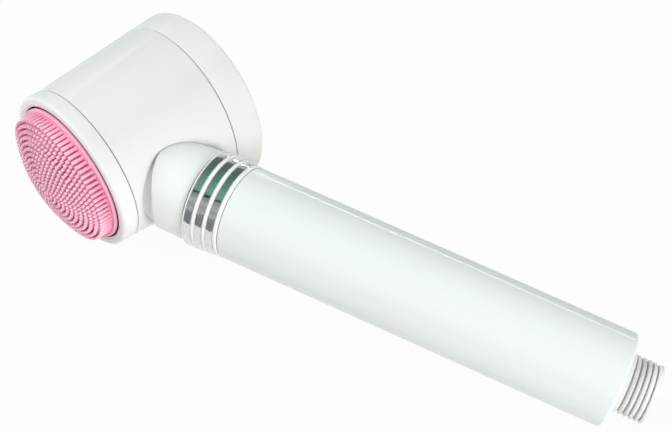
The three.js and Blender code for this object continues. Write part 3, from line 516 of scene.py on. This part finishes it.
def drum_outside(name, allowance):
    """The drum's outer form, larger by an allowance, to cut others with."""
    return turned(name, [
        (0, DRUM_FRONT_Z),
        (drum_radius(DRUM_FRONT_Z) + allowance, DRUM_FRONT_Z),
        (drum_radius(DRUM_BACK_Z) + allowance, DRUM_BACK_Z),
        (0, DRUM_BACK_Z),
    ], HEAD)


def drum_shell():
    """The drum with its rooms for the gears, the turbine and the water."""
    edge = 0.35
    return turned("drum_shell", [
        (BUSH_HOLE_R, PARTITION_FRONT_Z),
        (GEAR_ROOM_R, PARTITION_FRONT_Z, 0.6),
        (GEAR_ROOM_R, LIP_END_Z, 0.3),
        (LIP_R, LIP_END_Z, 0.3),
        (LIP_R, DRUM_FRONT_Z),
        (DRUM_FRONT_R, DRUM_FRONT_Z, edge),
        (DRUM_BACK_R, DRUM_BACK_Z, edge),
        (REAR_SPIGOT_R, DRUM_BACK_Z),
        (REAR_SPIGOT_R, REAR_SPIGOT_END_Z, 0.4),
        (TURBINE_ROOM_R, REAR_SPIGOT_END_Z, 0.4),
        (TURBINE_ROOM_R, JET_SEAT_Z),
        (WATER_ROOM_R, JET_SEAT_Z),
        (WATER_ROOM_R, PARTITION_BACK_Z, 0.6),
        (SEAL_BOSS_R, PARTITION_BACK_Z, 0.5),
        (SEAL_BOSS_R, SEAL_BOSS_END_Z, 0.4),
        (SEAL_POCKET_R, SEAL_BOSS_END_Z),
        (SEAL_POCKET_R, SEAL_POCKET_Z),
        (BUSH_HOLE_R, SEAL_POCKET_Z),
    ], HEAD)


def make_drum():
    """The drum's shell, and the socket that the neck sleeve covers."""
    drum = drum_shell()
    socket = rod("socket", SOCKET_R, NECK_ROOT_Z, NECK_END_Z, HANDLE)
    combine(socket, drum_outside("drum_core", -SOCKET_SINK), "DIFFERENCE")
    combine(drum, socket, "UNION")
    bore = rod("socket_bore", SOCKET_BORE_R, SOCKET_FLOOR_Z, NECK_END_Z + CUT_PAST, HANDLE)
    combine(drum, bore, "DIFFERENCE")
    water_way = rod("water_way", NECK_BORE_R, NECK_ROOT_Z, NECK_END_Z, HANDLE, INNER_SIDES)
    combine(drum, water_way, "DIFFERENCE")
    smooth(drum)
    dress(drum, "housing", "white_plastic", "head_shell")
    # painted light on the socket's faces in the recess round the neck
    tint_faces(drum, SOCKET_PAINTED_LIGHT, HANDLE, near(SOCKET_R, within=0.1))
    # painted shade on the faces deep in the front and rear seams
    tint_faces(drum, SEAM_SHADE, HEAD, near(LIP_R, REAR_SPIGOT_R))


def make_neck_sleeve():
    """The neck's cover, cut round at the drum, with painted shade on its end face at the collar."""
    sleeve = turned("neck_sleeve_shell", [
        (NECK_INNER_R, NECK_ROOT_Z),
        (NECK_R, NECK_ROOT_Z),
        (NECK_R, SLEEVE_END_Z, 0.35),
        (NECK_INNER_R, SLEEVE_END_Z),
    ], HANDLE)
    saddle_place = HEAD.copy()
    saddle_place.translation = HANDLE @ Vector((0, 0, SADDLE_Z))
    saddle = rod("saddle", SADDLE_R, 2 * DRUM_BACK_Z, -2 * DRUM_BACK_Z, saddle_place)
    combine(sleeve, saddle, "DIFFERENCE")
    combine(sleeve, drum_outside("drum_clearance", SLEEVE_GAP), "DIFFERENCE")
    bevel(sleeve, 0.22)
    dress(sleeve, "housing", "white_plastic", "neck_sleeve", material=NECK_PLASTIC)
    end_face_z = SLEEVE_END_Z - 0.02
    # painted shade on the sleeve's end face, in the gap under the collar
    tint_faces(sleeve, SEAM_SHADE, HANDLE, lambda r, z: z > end_face_z)


def make_bezel():
    """The ring round the brush, whose front slopes a little to both sides."""
    bore = LIP_R + SEAT_GAP
    rim_drop = 0.1
    slope_width, slope_drop = 1.2, 0.35
    ring = turned("bezel_moulding", [
        (bore, DRUM_FRONT_Z + SEAT_GAP),
        (DRUM_FRONT_R, DRUM_FRONT_Z + SEAT_GAP, 0.4),
        (BEZEL_SIDE_R, BEZEL_FRONT_Z - rim_drop, 1.5),
        (OPENING_R + slope_width, BEZEL_FRONT_Z, 0.3),
        (OPENING_R, BEZEL_FRONT_Z - slope_drop, 0.3),
        (OPENING_R, LIP_END_Z + SEAT_GAP),
        (bore, LIP_END_Z + SEAT_GAP),
    ], HEAD)
    dress(ring, "housing", "cream_plastic", "bezel_ring", material=BEZEL_PLASTIC)


def make_rear_ring():
    """The ring that holds the spray plate at the drum's wide end."""
    bore = REAR_SPIGOT_R + SEAT_GAP
    ring = turned("rear_ring_moulding", [
        (bore, DRUM_BACK_Z - REAR_SEAM_GAP),
        (DRUM_BACK_R, DRUM_BACK_Z - REAR_SEAM_GAP, 0.4),
        (REAR_RIM_R, REAR_RING_BACK_Z, 1.6),
        (REAR_LIP_R, REAR_RING_BACK_Z, 0.4),
        (REAR_LIP_R, REAR_LIP_Z),
        (bore, REAR_LIP_Z),
    ], HEAD)
    dress(ring, "housing", "cream_plastic", "rear_ring")


SPRAY_RINGS = 3
SPRAY_FIRST_RING_HOLES = 5  # and as many more in each further ring
SPRAY_OUTER_RING_R = 28.0
SPRAY_HOLE_R, SPRAY_HOLE_CHAMFER = 0.6, 0.15
NOZZLE_R, NOZZLE_RISE = 1.35, 0.22
NOZZLE_TAPER, NOZZLE_ROOT = 0.25, 0.2  # narrower by this at its top, and sunk by this into the plate


def spray_places():
    """The holes' centres in the head's frame."""
    for ring in range(1, SPRAY_RINGS + 1):
        count = SPRAY_FIRST_RING_HOLES * ring
        r = SPRAY_OUTER_RING_R * ring / SPRAY_RINGS
        for i in range(count):
            turn = (2 * i + ring) * math.pi / count
            yield r * math.cos(turn), r * math.sin(turn)


def pins(name, corners, sides):
    """The same small turned shape at each of the spray holes."""
    pieces = []
    for x, y in spray_places():
        pieces.append(turned(f"{name}_pin", corners, HEAD @ Matrix.Translation((x, y, 0)), sides))
    return join(name, pieces)


def spray_face():
    """The spray plate without its holes, with the boss of the rear bearing."""
    return turned("spray_face", [
        (0, SPRAY_FACE_Z),
        (SPRAY_FACE_R, SPRAY_FACE_Z, 0.5),
        (SPRAY_FACE_R, SPRAY_FLANGE_Z),
        (SPRAY_FLANGE_R, SPRAY_FLANGE_Z),
        (SPRAY_FLANGE_R, SPRAY_TOP_Z),
        (SPRAY_WALL_R, SPRAY_TOP_Z),
        (SPRAY_WALL_R, SPRAY_FLOOR_Z),
        (REAR_BOSS_R, SPRAY_FLOOR_Z),
        (REAR_BOSS_R, REAR_BOSS_Z),
        (BUSH_HOLE_R, REAR_BOSS_Z),
        (BUSH_HOLE_R, REAR_POCKET_Z),
        (0, REAR_POCKET_Z),
    ], HEAD)


def make_spray_plate():
    """The spray plate, with a low nozzle round each hole."""
    plate = spray_face()
    nozzle_z = SPRAY_FACE_Z - NOZZLE_RISE
    root_z = SPRAY_FACE_Z + NOZZLE_ROOT
    nozzles = pins("nozzles", [
        (0, nozzle_z),
        (NOZZLE_R - NOZZLE_TAPER, nozzle_z, 0.15),
        (NOZZLE_R, root_z),
        (0, root_z),
    ], 28)
    combine(plate, nozzles, "UNION")
    outer_z, inner_z = nozzle_z - CUT_PAST, SPRAY_FLOOR_Z + CUT_PAST
    flare = SPRAY_HOLE_CHAMFER + CUT_PAST
    holes = pins("holes", [
        (0, outer_z),
        (SPRAY_HOLE_R + flare, outer_z),
        (SPRAY_HOLE_R, nozzle_z + SPRAY_HOLE_CHAMFER),
        (SPRAY_HOLE_R, inner_z),
        (0, inner_z),
    ], 20)
    combine(plate, holes, "DIFFERENCE")
    smooth(plate)
    dress(plate, "housing", "inner_plastic", "spray_plate")


# ---------------------------------------- neck, handle and inlet
def collar_radius(z):
    share = (z - COLLAR_START_Z) / (COLLAR_END_Z - COLLAR_START_Z)
    return COLLAR_TOP_R + (COLLAR_END_R - COLLAR_TOP_R) * share


BAND_STARTS = [COLLAR_START_Z + BAND_OFFSET + i * BAND_PITCH for i in range(BAND_COUNT)]


def make_collar():
    """The collar, with a groove for each band."""
    grooves = []
    for z in BAND_STARTS:
        end = z + BAND_WIDTH
        grooves += [
            (collar_radius(z), z, 0.12),
            (collar_radius(z) - BAND_DEPTH, z),
            (collar_radius(end) - BAND_DEPTH, end),
            (collar_radius(end), end, 0.25),
        ]
    collar = turned("collar_moulding", [
        (COLLAR_BORE_R, COLLAR_TOP_Z),
        (COLLAR_UPPER_R, COLLAR_TOP_Z, 0.4),
        (COLLAR_UPPER_R, COLLAR_START_Z),
        (COLLAR_TOP_R, COLLAR_START_Z, 0.2),
        *grooves,
        (COLLAR_END_R, COLLAR_END_Z, 0.3),
        (COLLAR_LOWER_R, COLLAR_END_Z),
        (COLLAR_LOWER_R, COLLAR_BOTTOM_Z, 0.4),
        (COLLAR_BORE_R, COLLAR_BOTTOM_Z),
    ], HANDLE)
    dress(collar, "housing", "white_plastic", "collar", material=COLLAR_PLASTIC)
    # painted shade on the collar's spigot, in the gap above the handle
    tint_faces(collar, SEAM_SHADE, HANDLE, near(COLLAR_LOWER_R))


def make_band(index):
    """One chrome band, set into its groove."""
    z0 = BAND_STARTS[index] + BAND_PLAY
    z1 = BAND_STARTS[index] + BAND_WIDTH - BAND_PLAY
    band = turned(f"chrome_band_{index + 1}", [
        (collar_radius(z0) - BAND_DEPTH + SEAT_GAP, z0),
        (collar_radius(z0) - BAND_SINK, z0, 0.2),
        (collar_radius(z1) - BAND_SINK, z1, 0.2),
        (collar_radius(z1) - BAND_DEPTH + SEAT_GAP, z1),
    ], HANDLE)
    dress(band, "housing", "chrome", f"chrome_ring_{index + 1}")


def make_handle():
    """The hollow handle, closed at its end round the inlet's hole."""
    floor_z = HANDLE_END_Z - HANDLE_END_WALL
    handle = turned("handle_shell", [
        (HANDLE_TOP_R - HANDLE_WALL, HANDLE_TOP_Z),
        (HANDLE_TOP_R, HANDLE_TOP_Z, 0.4),
        (HANDLE_END_R, HANDLE_END_Z, 1.4),
        (INLET_HOLE_R, HANDLE_END_Z, 0.3),
        (INLET_HOLE_R, floor_z),
        (HANDLE_END_R - HANDLE_WALL, floor_z),
        (HANDLE_TOP_R - HANDLE_WALL, COLLAR_BOTTOM_Z),
    ], HANDLE)
    dress(handle, "housing", "white_plastic", "handle_tube", material=HANDLE_PLASTIC)


def thread_radius(z, turn):
    """Radius of the inlet's thread: a flat crest, cut by a narrow groove on a right-hand helix."""
    turns = (z - THREAD_START_Z) / THREAD_PITCH - turn / (2 * math.pi) - GROOVE_PHASE
    away = abs(turns - round(turns))
    run_in = min(1.0, (z - THREAD_START_Z) / THREAD_RUN_IN)
    run_out = min(1.0, (THREAD_END_Z - THREAD_PLAIN_END - z) / THREAD_RUN_OUT)
    groove = max(0.0, 1 - away / GROOVE_HALF_WIDTH) ** GROOVE_CURVE
    chamfer = max(0.0, z - (THREAD_END_Z - THREAD_CHAMFER))
    return THREAD_R - chamfer - THREAD_DEPTH * groove * max(0.0, min(run_in, run_out))


def inlet_corners():
    """The inlet's profile apart from its thread, from the free end through the bore to the ring."""
    rebate_r = INLET_BORE_R + SCREEN_REBATE_WIDTH
    rebate_z = INLET_INNER_Z + SCREEN_REBATE
    return [
        (THREAD_R - THREAD_CHAMFER, THREAD_END_Z),
        (INLET_BORE_R, THREAD_END_Z, 0.4),
        (INLET_BORE_R, rebate_z),
        (rebate_r, rebate_z),
        (rebate_r, INLET_INNER_Z),
        (INLET_FLANGE_R, INLET_INNER_Z, 0.3),
        (INLET_FLANGE_R, INLET_FLANGE_Z, 0.3),
        (THREAD_RING_R, INLET_FLANGE_Z),
        (THREAD_RING_R, THREAD_START_Z, 0.3),
        (THREAD_R, THREAD_START_Z),
    ]


def make_inlet():
    """The hose inlet, with rows of points along its thread."""
    sides = 120
    rows = 132
    turns = [2 * math.pi * k / sides for k in range(sides)]
    rings = [[(r, z)] * sides for r, z in filleted(inlet_corners(), 4)]
    for i in range(1, rows):
        z = THREAD_START_Z + (THREAD_END_Z - THREAD_START_Z) * i / rows
        rings.append([(thread_radius(z, turn), z) for turn in turns])
    vertices = []
    for ring in rings:
        for turn, (r, z) in zip(turns, ring):
            vertices.append((r * math.cos(turn), r * math.sin(turn), z))
    faces = tube_faces(len(rings), sides, closed=True)
    inlet = smooth(new_object("threaded_inlet", vertices, faces, HANDLE), 40)
    mark_grooves(inlet)
    dress(inlet, "housing", "thread_plastic", "hose_inlet")


def mark_grooves(inlet):
    """Stores how deep each point of the thread lies, for its painted shade. The free end gets painted shade as if
    it were deep.
    """
    bore_side_r = INLET_BORE_R + 1
    groove_end_z, rim_z = THREAD_END_Z - 0.6, THREAD_END_Z - 0.3
    rim_share = 0.95
    share = inlet.data.attributes.new(GROOVE_SHARE, "FLOAT", "POINT")
    to_handle = HANDLE.inverted()
    for vertex, value in zip(inlet.data.vertices, share.data):
        x, y, z = to_handle @ vertex.co
        r = math.hypot(x, y)
        on_thread = THREAD_START_Z < z < groove_end_z and r > bore_side_r
        value.value = (THREAD_R - r) / THREAD_DEPTH if on_thread else 0.0
        if z > rim_z:
            value.value = rim_share


WIRE_R, WIRE_PITCH, WIRE_WAVE = 0.17, 0.9, 0.19  # of the screen, and how far a wire swings
WIRE_FIELD_R = SCREEN_R - 1.2  # the wires lie side by side up to here
WIRE_END_R = SCREEN_R - 0.6  # and end here, inside the rim


def make_screen_wire(offset, along_x, start_up):
    """One wire of the woven screen, waving over and under those that cross it."""
    steps = 6  # to half a wave
    sides = 6
    reach = math.sqrt(WIRE_END_R ** 2 - offset ** 2)
    count = 2 * round(reach / WIRE_PITCH * steps)
    mid_z = SCREEN_Z + SCREEN_THICKNESS / 2
    vertices = []
    for i in range(count + 1):
        along = -reach + 2 * reach * i / count
        swing = WIRE_WAVE * math.cos(math.pi * (along / WIRE_PITCH + 0.5 + start_up))
        for k in range(sides):
            side = 2 * math.pi * k / sides
            across = offset + WIRE_R * math.cos(side)
            z = mid_z + swing + WIRE_R * math.sin(side)
            vertices.append((along, across, z) if along_x else (across, along, z))
    faces = tube_faces(count + 1, sides)
    faces.append(tuple(range(sides)))
    faces.append(tuple(count * sides + k for k in range(sides)))
    return new_object("wire", vertices, faces, HANDLE)


def make_inlet_screen():
    """A woven wire screen in its rim."""
    pieces = [turned("screen_rim", [
        (SCREEN_R - SCREEN_RIM, SCREEN_Z, 0.3),
        (SCREEN_R, SCREEN_Z, 0.3),
        (SCREEN_R, SCREEN_Z + SCREEN_THICKNESS, 0.3),
        (SCREEN_R - SCREEN_RIM, SCREEN_Z + SCREEN_THICKNESS, 0.3),
    ], HANDLE, INNER_SIDES)]
    wires = int(WIRE_FIELD_R / WIRE_PITCH)  # on each side of the middle
    for i in range(-wires, wires):
        offset = (i + 0.5) * WIRE_PITCH
        pieces.append(make_screen_wire(offset, True, i % 2))
        pieces.append(make_screen_wire(offset, False, (i + 1) % 2))
    screen = join("woven_screen", pieces)
    smooth(screen, 50)
    dress(screen, "housing", "steel", "inlet_screen")


# ---------------------------------------- head: brush
CROWN_R = 27.45
PAD_CROWN_SHARE = 0.8  # the pad rises by this share of the tips' dome
BRISTLE_OUTER_RING_R = 26.8
BRISTLE_RING_PITCH = 2.06
BRISTLE_COUNTS = (81, 75, 69, 63, 55, 49, 43, 37, 31, 25, 19, 13, 7, 1)  # from the outer ring inwards
BRISTLE_START = math.radians(9)  # where each ring's first bristle stands
BRISTLE_R = 0.66
BRISTLE_SIDES = 10
BRISTLE_TIP_RINGS = 3
BRISTLE_FOOT = (  # width as a share of BRISTLE_R, and height over the pad
    (1.25, -0.6),
    (1.2, 0),
    (1.03, 0.4),
    (1, 1.2),
)
FLANGE_SHARE, GAP_SHADE_SHARE = 0.45, -0.6  # of TIP_SHARE: the pad's rim takes a tone part way up the painted shade-to-light ramp, and its side in the gap takes painted shade


def crown_rise(r):
    return BRUSH_CROWN * (1 - (min(r, CROWN_R) / CROWN_R) ** 2)


def pad_height(r):
    return PAD_FLANGE_Z + crown_rise(r) * PAD_CROWN_SHARE


def tip_height(r):
    return PAD_FLANGE_Z + crown_rise(r) + BRISTLE_REACH


def make_pad():
    """The dome-shaped silicone pad under the bristles, with its smooth flange."""
    steps = 12
    dome_r = CROWN_R + 0.4
    shade_blend = 0.05
    dome = []
    for i in range(steps + 1):
        r = dome_r * (1 - i / steps)
        dome.append((r, pad_height(r)))
    corners = [
        (0, PAD_FLAT_UNDER_Z),
        (PAD_FLAT_R, PAD_FLAT_UNDER_Z),
        (PAD_UNDER_R, PAD_UNDER_Z),
        (PAD_UNDER_R, PAD_EDGE_Z),
        (PAD_R, PAD_EDGE_Z, 0.2),
        (PAD_R, PAD_SHADE_Z - shade_blend),
        (PAD_R, PAD_SHADE_Z + shade_blend),
        (PAD_R, PAD_FLANGE_Z, 0.7),
        *dome,
    ]
    return turned("pad", corners, HEAD, INNER_SIDES, 40)


def bristle_outline(ring_r):
    """Radii and heights of a bristle in a ring of a radius, from its root to below its tip."""
    outline = [(BRISTLE_R * width, pad_height(ring_r) + height) for width, height in BRISTLE_FOOT]
    for k in range(BRISTLE_TIP_RINGS + 1):
        lift = math.pi / 2 * k / (BRISTLE_TIP_RINGS + 1)
        sink = BRISTLE_R * (1 - math.sin(lift))
        outline.append((BRISTLE_R * math.cos(lift), tip_height(ring_r) - sink))
    return outline


def add_bristle(vertices, faces, outline, ring_r, turn):
    """Adds one bristle at a turn round the axis to lists of vertices and faces."""
    x, y = ring_r * math.cos(turn), ring_r * math.sin(turn)
    start = len(vertices)
    for r, z in outline:
        for k in range(BRISTLE_SIDES):
            side = turn + 2 * math.pi * k / BRISTLE_SIDES
            vertices.append((x + r * math.cos(side), y + r * math.sin(side), z))
    tip = len(vertices)
    vertices.append((x, y, tip_height(ring_r)))
    faces += tube_faces(len(outline), BRISTLE_SIDES, start)
    last = tip - BRISTLE_SIDES
    for k in range(BRISTLE_SIDES):
        faces.append((last + k, last + (k + 1) % BRISTLE_SIDES, tip))
    faces.append(tuple(start + k for k in reversed(range(BRISTLE_SIDES))))


def make_bristles():
    """Round-tipped bristles, all along the drum's axis, with their tips on a dome."""
    vertices = []
    faces = []
    for ring, count in enumerate(BRISTLE_COUNTS):
        ring_r = BRISTLE_OUTER_RING_R - ring * BRISTLE_RING_PITCH
        outline = bristle_outline(ring_r)
        for i in range(count):
            add_bristle(vertices, faces, outline, ring_r, BRISTLE_START + 2 * math.pi * i / count)
    return smooth(new_object("bristles", vertices, faces, HEAD), 60)


def mark_tips(brush):
    """Stores how far each point stands above the pad, for the silicone's painted shade and light, and marks the
    pad's side in the gap for painted shade.
    """
    flange_r = BRISTLE_OUTER_RING_R + BRISTLE_R * 1.3
    side_r = PAD_R - 0.4
    share = brush.data.attributes.new(TIP_SHARE, "FLOAT", "POINT")
    to_head = HEAD.inverted()
    for vertex, value in zip(brush.data.vertices, share.data):
        x, y, z = to_head @ vertex.co
        r = math.hypot(x, y)
        risen = (z - pad_height(r)) / (tip_height(r) - pad_height(r))
        least = FLANGE_SHARE if r > flange_r else 0.0
        in_gap = r > side_r and z < PAD_SHADE_Z
        value.value = GAP_SHADE_SHARE if in_gap else max(least, min(1.0, risen))


def make_brush():
    """The silicone brush, pad and bristles in one piece, on the body that turns."""
    brush = join("silicone_brush", [make_pad(), make_bristles()])
    brush.data.shade_smooth()
    brush.data.set_sharp_from_angle(angle=math.radians(60))
    mark_tips(brush)
    dress(brush, "brush", "pink_silicone", "brush_pad")


# ---------------------------------------- CAD nodes that stay
def finish_frame():
    """The inner pieces keep their CAD solids and get their finish."""
    for name, obj in frame["nodes"].items():
        obj.data.materials.clear()
        obj.data.materials.append(MATERIALS[NODE_SLOTS[name]])


# ---------------------------------------- stage, light and camera
FLOOR_SIZE = 6.0
FLOOR_Z = -0.0002  # just below the part
FLOOR_GREY = (0.64, 0.64, 0.63)
FLOOR_WHITE = 0.96  # share of plain white in the floor as the camera and glossy surfaces see it
FILL_COLOR, FILL_STRENGTH = (0.98, 0.99, 1.0), 0.2


def seen_directly(nodes, links):
    """1 for the rays of the camera, of gloss and of transmission, and 0 for the rest."""
    ray = nodes.new("ShaderNodeLightPath")
    gloss = nodes.new("ShaderNodeMath")
    gloss.operation = "MAXIMUM"
    links.new(ray.outputs["Is Camera Ray"], gloss.inputs[0])
    links.new(ray.outputs["Is Glossy Ray"], gloss.inputs[1])
    either = nodes.new("ShaderNodeMath")
    either.operation = "MAXIMUM"
    links.new(gloss.outputs["Value"], either.inputs[0])
    links.new(ray.outputs["Is Transmission Ray"], either.inputs[1])
    return either.outputs["Value"]


def mix_shaders(nodes, links, factor, first, second, output):
    """Sends a mix of two shaders to an output."""
    mix = nodes.new("ShaderNodeMixShader")
    links.new(factor, mix.inputs["Fac"])
    links.new(first, mix.inputs[1])
    links.new(second, mix.inputs[2])
    links.new(mix.outputs["Shader"], output.inputs["Surface"])


def make_floor():
    """A pale floor that takes shadows, and is nearly white where it is seen directly."""
    half = FLOOR_SIZE / 2
    corners = [(-half, -half, 0), (half, -half, 0), (half, half, 0), (-half, half, 0)]
    floor = new_object("floor", corners, [(0, 1, 2, 3)], Matrix.Identity(4))
    floor.location.z = FLOOR_Z
    material = bpy.data.materials.new("pale_floor")
    material.use_nodes = True
    nodes, links = material.node_tree.nodes, material.node_tree.links
    nodes.clear()
    output = nodes.new("ShaderNodeOutputMaterial")
    lit = nodes.new("ShaderNodeBsdfDiffuse")
    lit.inputs["Color"].default_value = (*FLOOR_GREY, 1)
    white = nodes.new("ShaderNodeEmission")
    white.inputs["Color"].default_value = (1, 1, 1, 1)
    share = nodes.new("ShaderNodeMath")
    share.operation = "MULTIPLY"
    share.inputs[1].default_value = FLOOR_WHITE
    links.new(seen_directly(nodes, links), share.inputs[0])
    mix_shaders(
        nodes, links, share.outputs["Value"], lit.outputs["BSDF"], white.outputs["Emission"], output)
    floor.data.materials.append(material)


def make_world():
    """Plain white where it is seen directly, and a soft even light for surfaces."""
    world = bpy.data.worlds.new("studio")
    bpy.context.scene.world = world
    world.use_nodes = True
    nodes, links = world.node_tree.nodes, world.node_tree.links
    nodes.clear()
    output = nodes.new("ShaderNodeOutputWorld")
    fill = nodes.new("ShaderNodeBackground")
    fill.inputs["Color"].default_value = (*FILL_COLOR, 1)
    fill.inputs["Strength"].default_value = FILL_STRENGTH
    white = nodes.new("ShaderNodeBackground")
    white.inputs["Color"].default_value = (1, 1, 1, 1)
    white.inputs["Strength"].default_value = 1.0
    seen = seen_directly(nodes, links)
    mix_shaders(nodes, links, seen, fill.outputs["Background"], white.outputs["Background"], output)


CARD_R = 2.2
BACK_SHARE = 0.18  # of the half turn from the back horizon, over the top, to the front
CEILING_BANDS = (  # share of that half turn, and colour
    (BACK_SHARE, (0.34, 0.36, 0.35)),
    (0.20, (0.15, 0.18, 0.165)),
    (0.33, (0.125, 0.175, 0.15)),
    (0.44, (0.12, 0.23, 0.18)),
    (0.55, (0.155, 0.32, 0.25)),
    (0.68, (0.22, 0.43, 0.36)),
    (0.715, (0.20, 0.38, 0.32)),
    (0.725, (0.05, 0.06, 0.06)),
    (0.745, (0.07, 0.07, 0.07)),
    (0.755, (0.31, 0.33, 0.33)),
    (0.83, (0.51, 0.54, 0.53)),
    (0.885, (0.37, 0.39, 0.39)),
    (0.94, (0.54, 0.57, 0.56)),
    (0.975, (0.28, 0.30, 0.30)),
    (1.00, (0.31, 0.33, 0.33)),
)
BACK_GREY = (0.47, 0.55, 0.55)
FRONT_GREY = (0.25, 0.26, 0.26)
REAR_FLOOR_GREY = (0.60, 0.70, 0.70)
CEILING_X, BACK_X, FLOOR_CARD_X = (-1.8, 1.8), (-0.85, 1.8), (-2.0, 2.0)
LEFT_X, LEFT_Y, LEFT_HEIGHT = -1.6, (-0.2, 2.0), 1.2
FRONT_START_Y, REAR_START_Y = -0.105, 0.07


def card_material(name, bands):
    """A glow whose colour follows the direction from the centre, by shares of the half turn."""
    material = bpy.data.materials.new(name)
    material.use_nodes = True
    nodes, links = material.node_tree.nodes, material.node_tree.links
    nodes.clear()
    output = nodes.new("ShaderNodeOutputMaterial")
    place = nodes.new("ShaderNodeTexCoord")
    split = nodes.new("ShaderNodeSeparateXYZ")
    links.new(place.outputs["Object"], split.inputs["Vector"])
    turn = nodes.new("ShaderNodeMath")
    turn.operation = "ARCTAN2"
    links.new(split.outputs["Z"], turn.inputs[0])
    links.new(split.outputs["Y"], turn.inputs[1])
    share = nodes.new("ShaderNodeMath")
    share.operation = "DIVIDE"
    share.inputs[1].default_value = math.pi
    links.new(turn.outputs["Value"], share.inputs[0])
    ramp = color_ramp(nodes, bands)
    links.new(share.outputs["Value"], ramp.inputs["Fac"])
    glow = nodes.new("ShaderNodeEmission")
    links.new(ramp.outputs["Color"], glow.inputs["Color"])
    links.new(glow.outputs["Emission"], output.inputs["Surface"])
    return material


def make_card(name, rows, bands):
    """A card that only gloss shows, from rows of two points in metres."""
    vertices = [point for row in rows for point in row]
    faces = [(2 * i, 2 * i + 1, 2 * i + 3, 2 * i + 2) for i in range(len(rows) - 1)]
    card = new_object(name, vertices, faces, Matrix.Identity(4))
    card.visible_camera = False
    card.visible_diffuse = False
    card.visible_transmission = False
    card.visible_shadow = False
    card.data.materials.append(card_material(name, bands))


def arch_rows(start, end, x0, x1):
    """Rows along an arch round the x axis, between two shares of the half turn."""
    steps = 48
    rows = []
    for i in range(steps + 1):
        turn = math.pi * (start + (end - start) * i / steps)
        y, z = CARD_R * math.cos(turn), CARD_R * math.sin(turn)
        rows.append(((x0, y, z), (x1, y, z)))
    return rows


def floor_rows(y0, y1):
    """Rows of a card on the floor, between two places in y."""
    return [[(x, y, 0.0) for x in FLOOR_CARD_X] for y in (y0, y1)]


def plain(color):
    """Bands of one colour."""
    return ((0, color), (1, color))


def make_cards():
    """A green ceiling, and greys behind, to the left and on the floor on both sides."""
    make_card("ceiling_card", arch_rows(BACK_SHARE, 1.0, *CEILING_X), CEILING_BANDS)
    make_card("back_card", arch_rows(0.0, BACK_SHARE, *BACK_X), plain(BACK_GREY))
    left_rows = [[(LEFT_X, y, z) for y in LEFT_Y] for z in (0.0, LEFT_HEIGHT)]
    make_card("left_card", left_rows, plain(BACK_GREY))
    make_card("front_card", floor_rows(FRONT_START_Y, -CARD_R), plain(FRONT_GREY))
    make_card("rear_floor_card", floor_rows(REAR_START_Y, CARD_R), plain(REAR_FLOOR_GREY))


LAMP_TARGET = (0, 0, 0.03)
BACK_STRIP = "back_strip"  # the only lamp that gloss shows: it draws the bright line along the handle
LAMPS = (  # name, place and size in metres, watts, colour
    ("right_low", (2.26, -0.72, 0.33), (1.0, 1.0), 32.0, (1, 0.99, 0.985)),
    ("right_mid", (2.03, -0.84, 0.96), (1.0, 1.0), 21.5, (1, 0.99, 0.985)),
    ("left_front", (-1.46, -1.46, 1.22), (1.0, 1.0), 21.0, (0.985, 0.995, 1)),
    ("left_top", (-1.70, 0, 1.70), (1.0, 1.0), 27.5, (0.98, 0.995, 1)),
    (BACK_STRIP, (-0.03, 0.85, 0.29), (1.05, 0.016), 0.6, (1, 1, 1)),
)


def make_lamp(name, place, size, watts, color):
    """A rectangular lamp, aimed at the part."""
    light = bpy.data.lights.new(name, "AREA")
    light.shape = "RECTANGLE"
    light.size, light.size_y = size
    light.energy = watts
    light.color = color
    lamp = bpy.data.objects.new(name, light)
    bpy.context.scene.collection.objects.link(lamp)
    lamp.visible_glossy = name == BACK_STRIP
    lamp.location = place
    lamp.rotation_euler = (Vector(LAMP_TARGET) - Vector(place)).to_track_quat("-Z", "Y").to_euler()


def make_camera():
    """The photograph's view, set out along the handle, the spray side and the side that faces up."""
    view_from = (180.53, -175.30, 234.81)
    view_right = (0.88562, 0.46018, 0.06247)
    view_down = (0.38138, -0.64394, -0.66324)
    along = (HANDLE_AXIS, SPRAY_SIDE, SIDE_AXIS)

    def in_frame(parts):
        return sum((axis * part for axis, part in zip(along, parts)), Vector())

    camera = bpy.data.cameras.new("photo_view")
    camera.sensor_width = 36.0
    camera.lens = 43.08
    camera.clip_start = 0.01
    right = in_frame(view_right).normalized()
    up = -in_frame(view_down).normalized()
    back = right.cross(up)
    obj = bpy.data.objects.new("photo_view", camera)
    obj.matrix_world = Matrix((right, up, back)).transposed().to_4x4()
    obj.location = CENTRE + in_frame(view_from) * MM
    bpy.context.scene.collection.objects.link(obj)
    bpy.context.scene.camera = obj


make_camera()
make_world()
make_floor()
make_cards()
for lamp_values in LAMPS:
    make_lamp(*lamp_values)
bpy.context.scene.view_settings.view_transform = "Standard"

finish_frame()
make_drum()
make_neck_sleeve()
make_bezel()
make_rear_ring()
make_spray_plate()
make_collar()
for band_index in range(BAND_COUNT):
    make_band(band_index)
make_handle()
make_inlet()
make_inlet_screen()
make_brush()
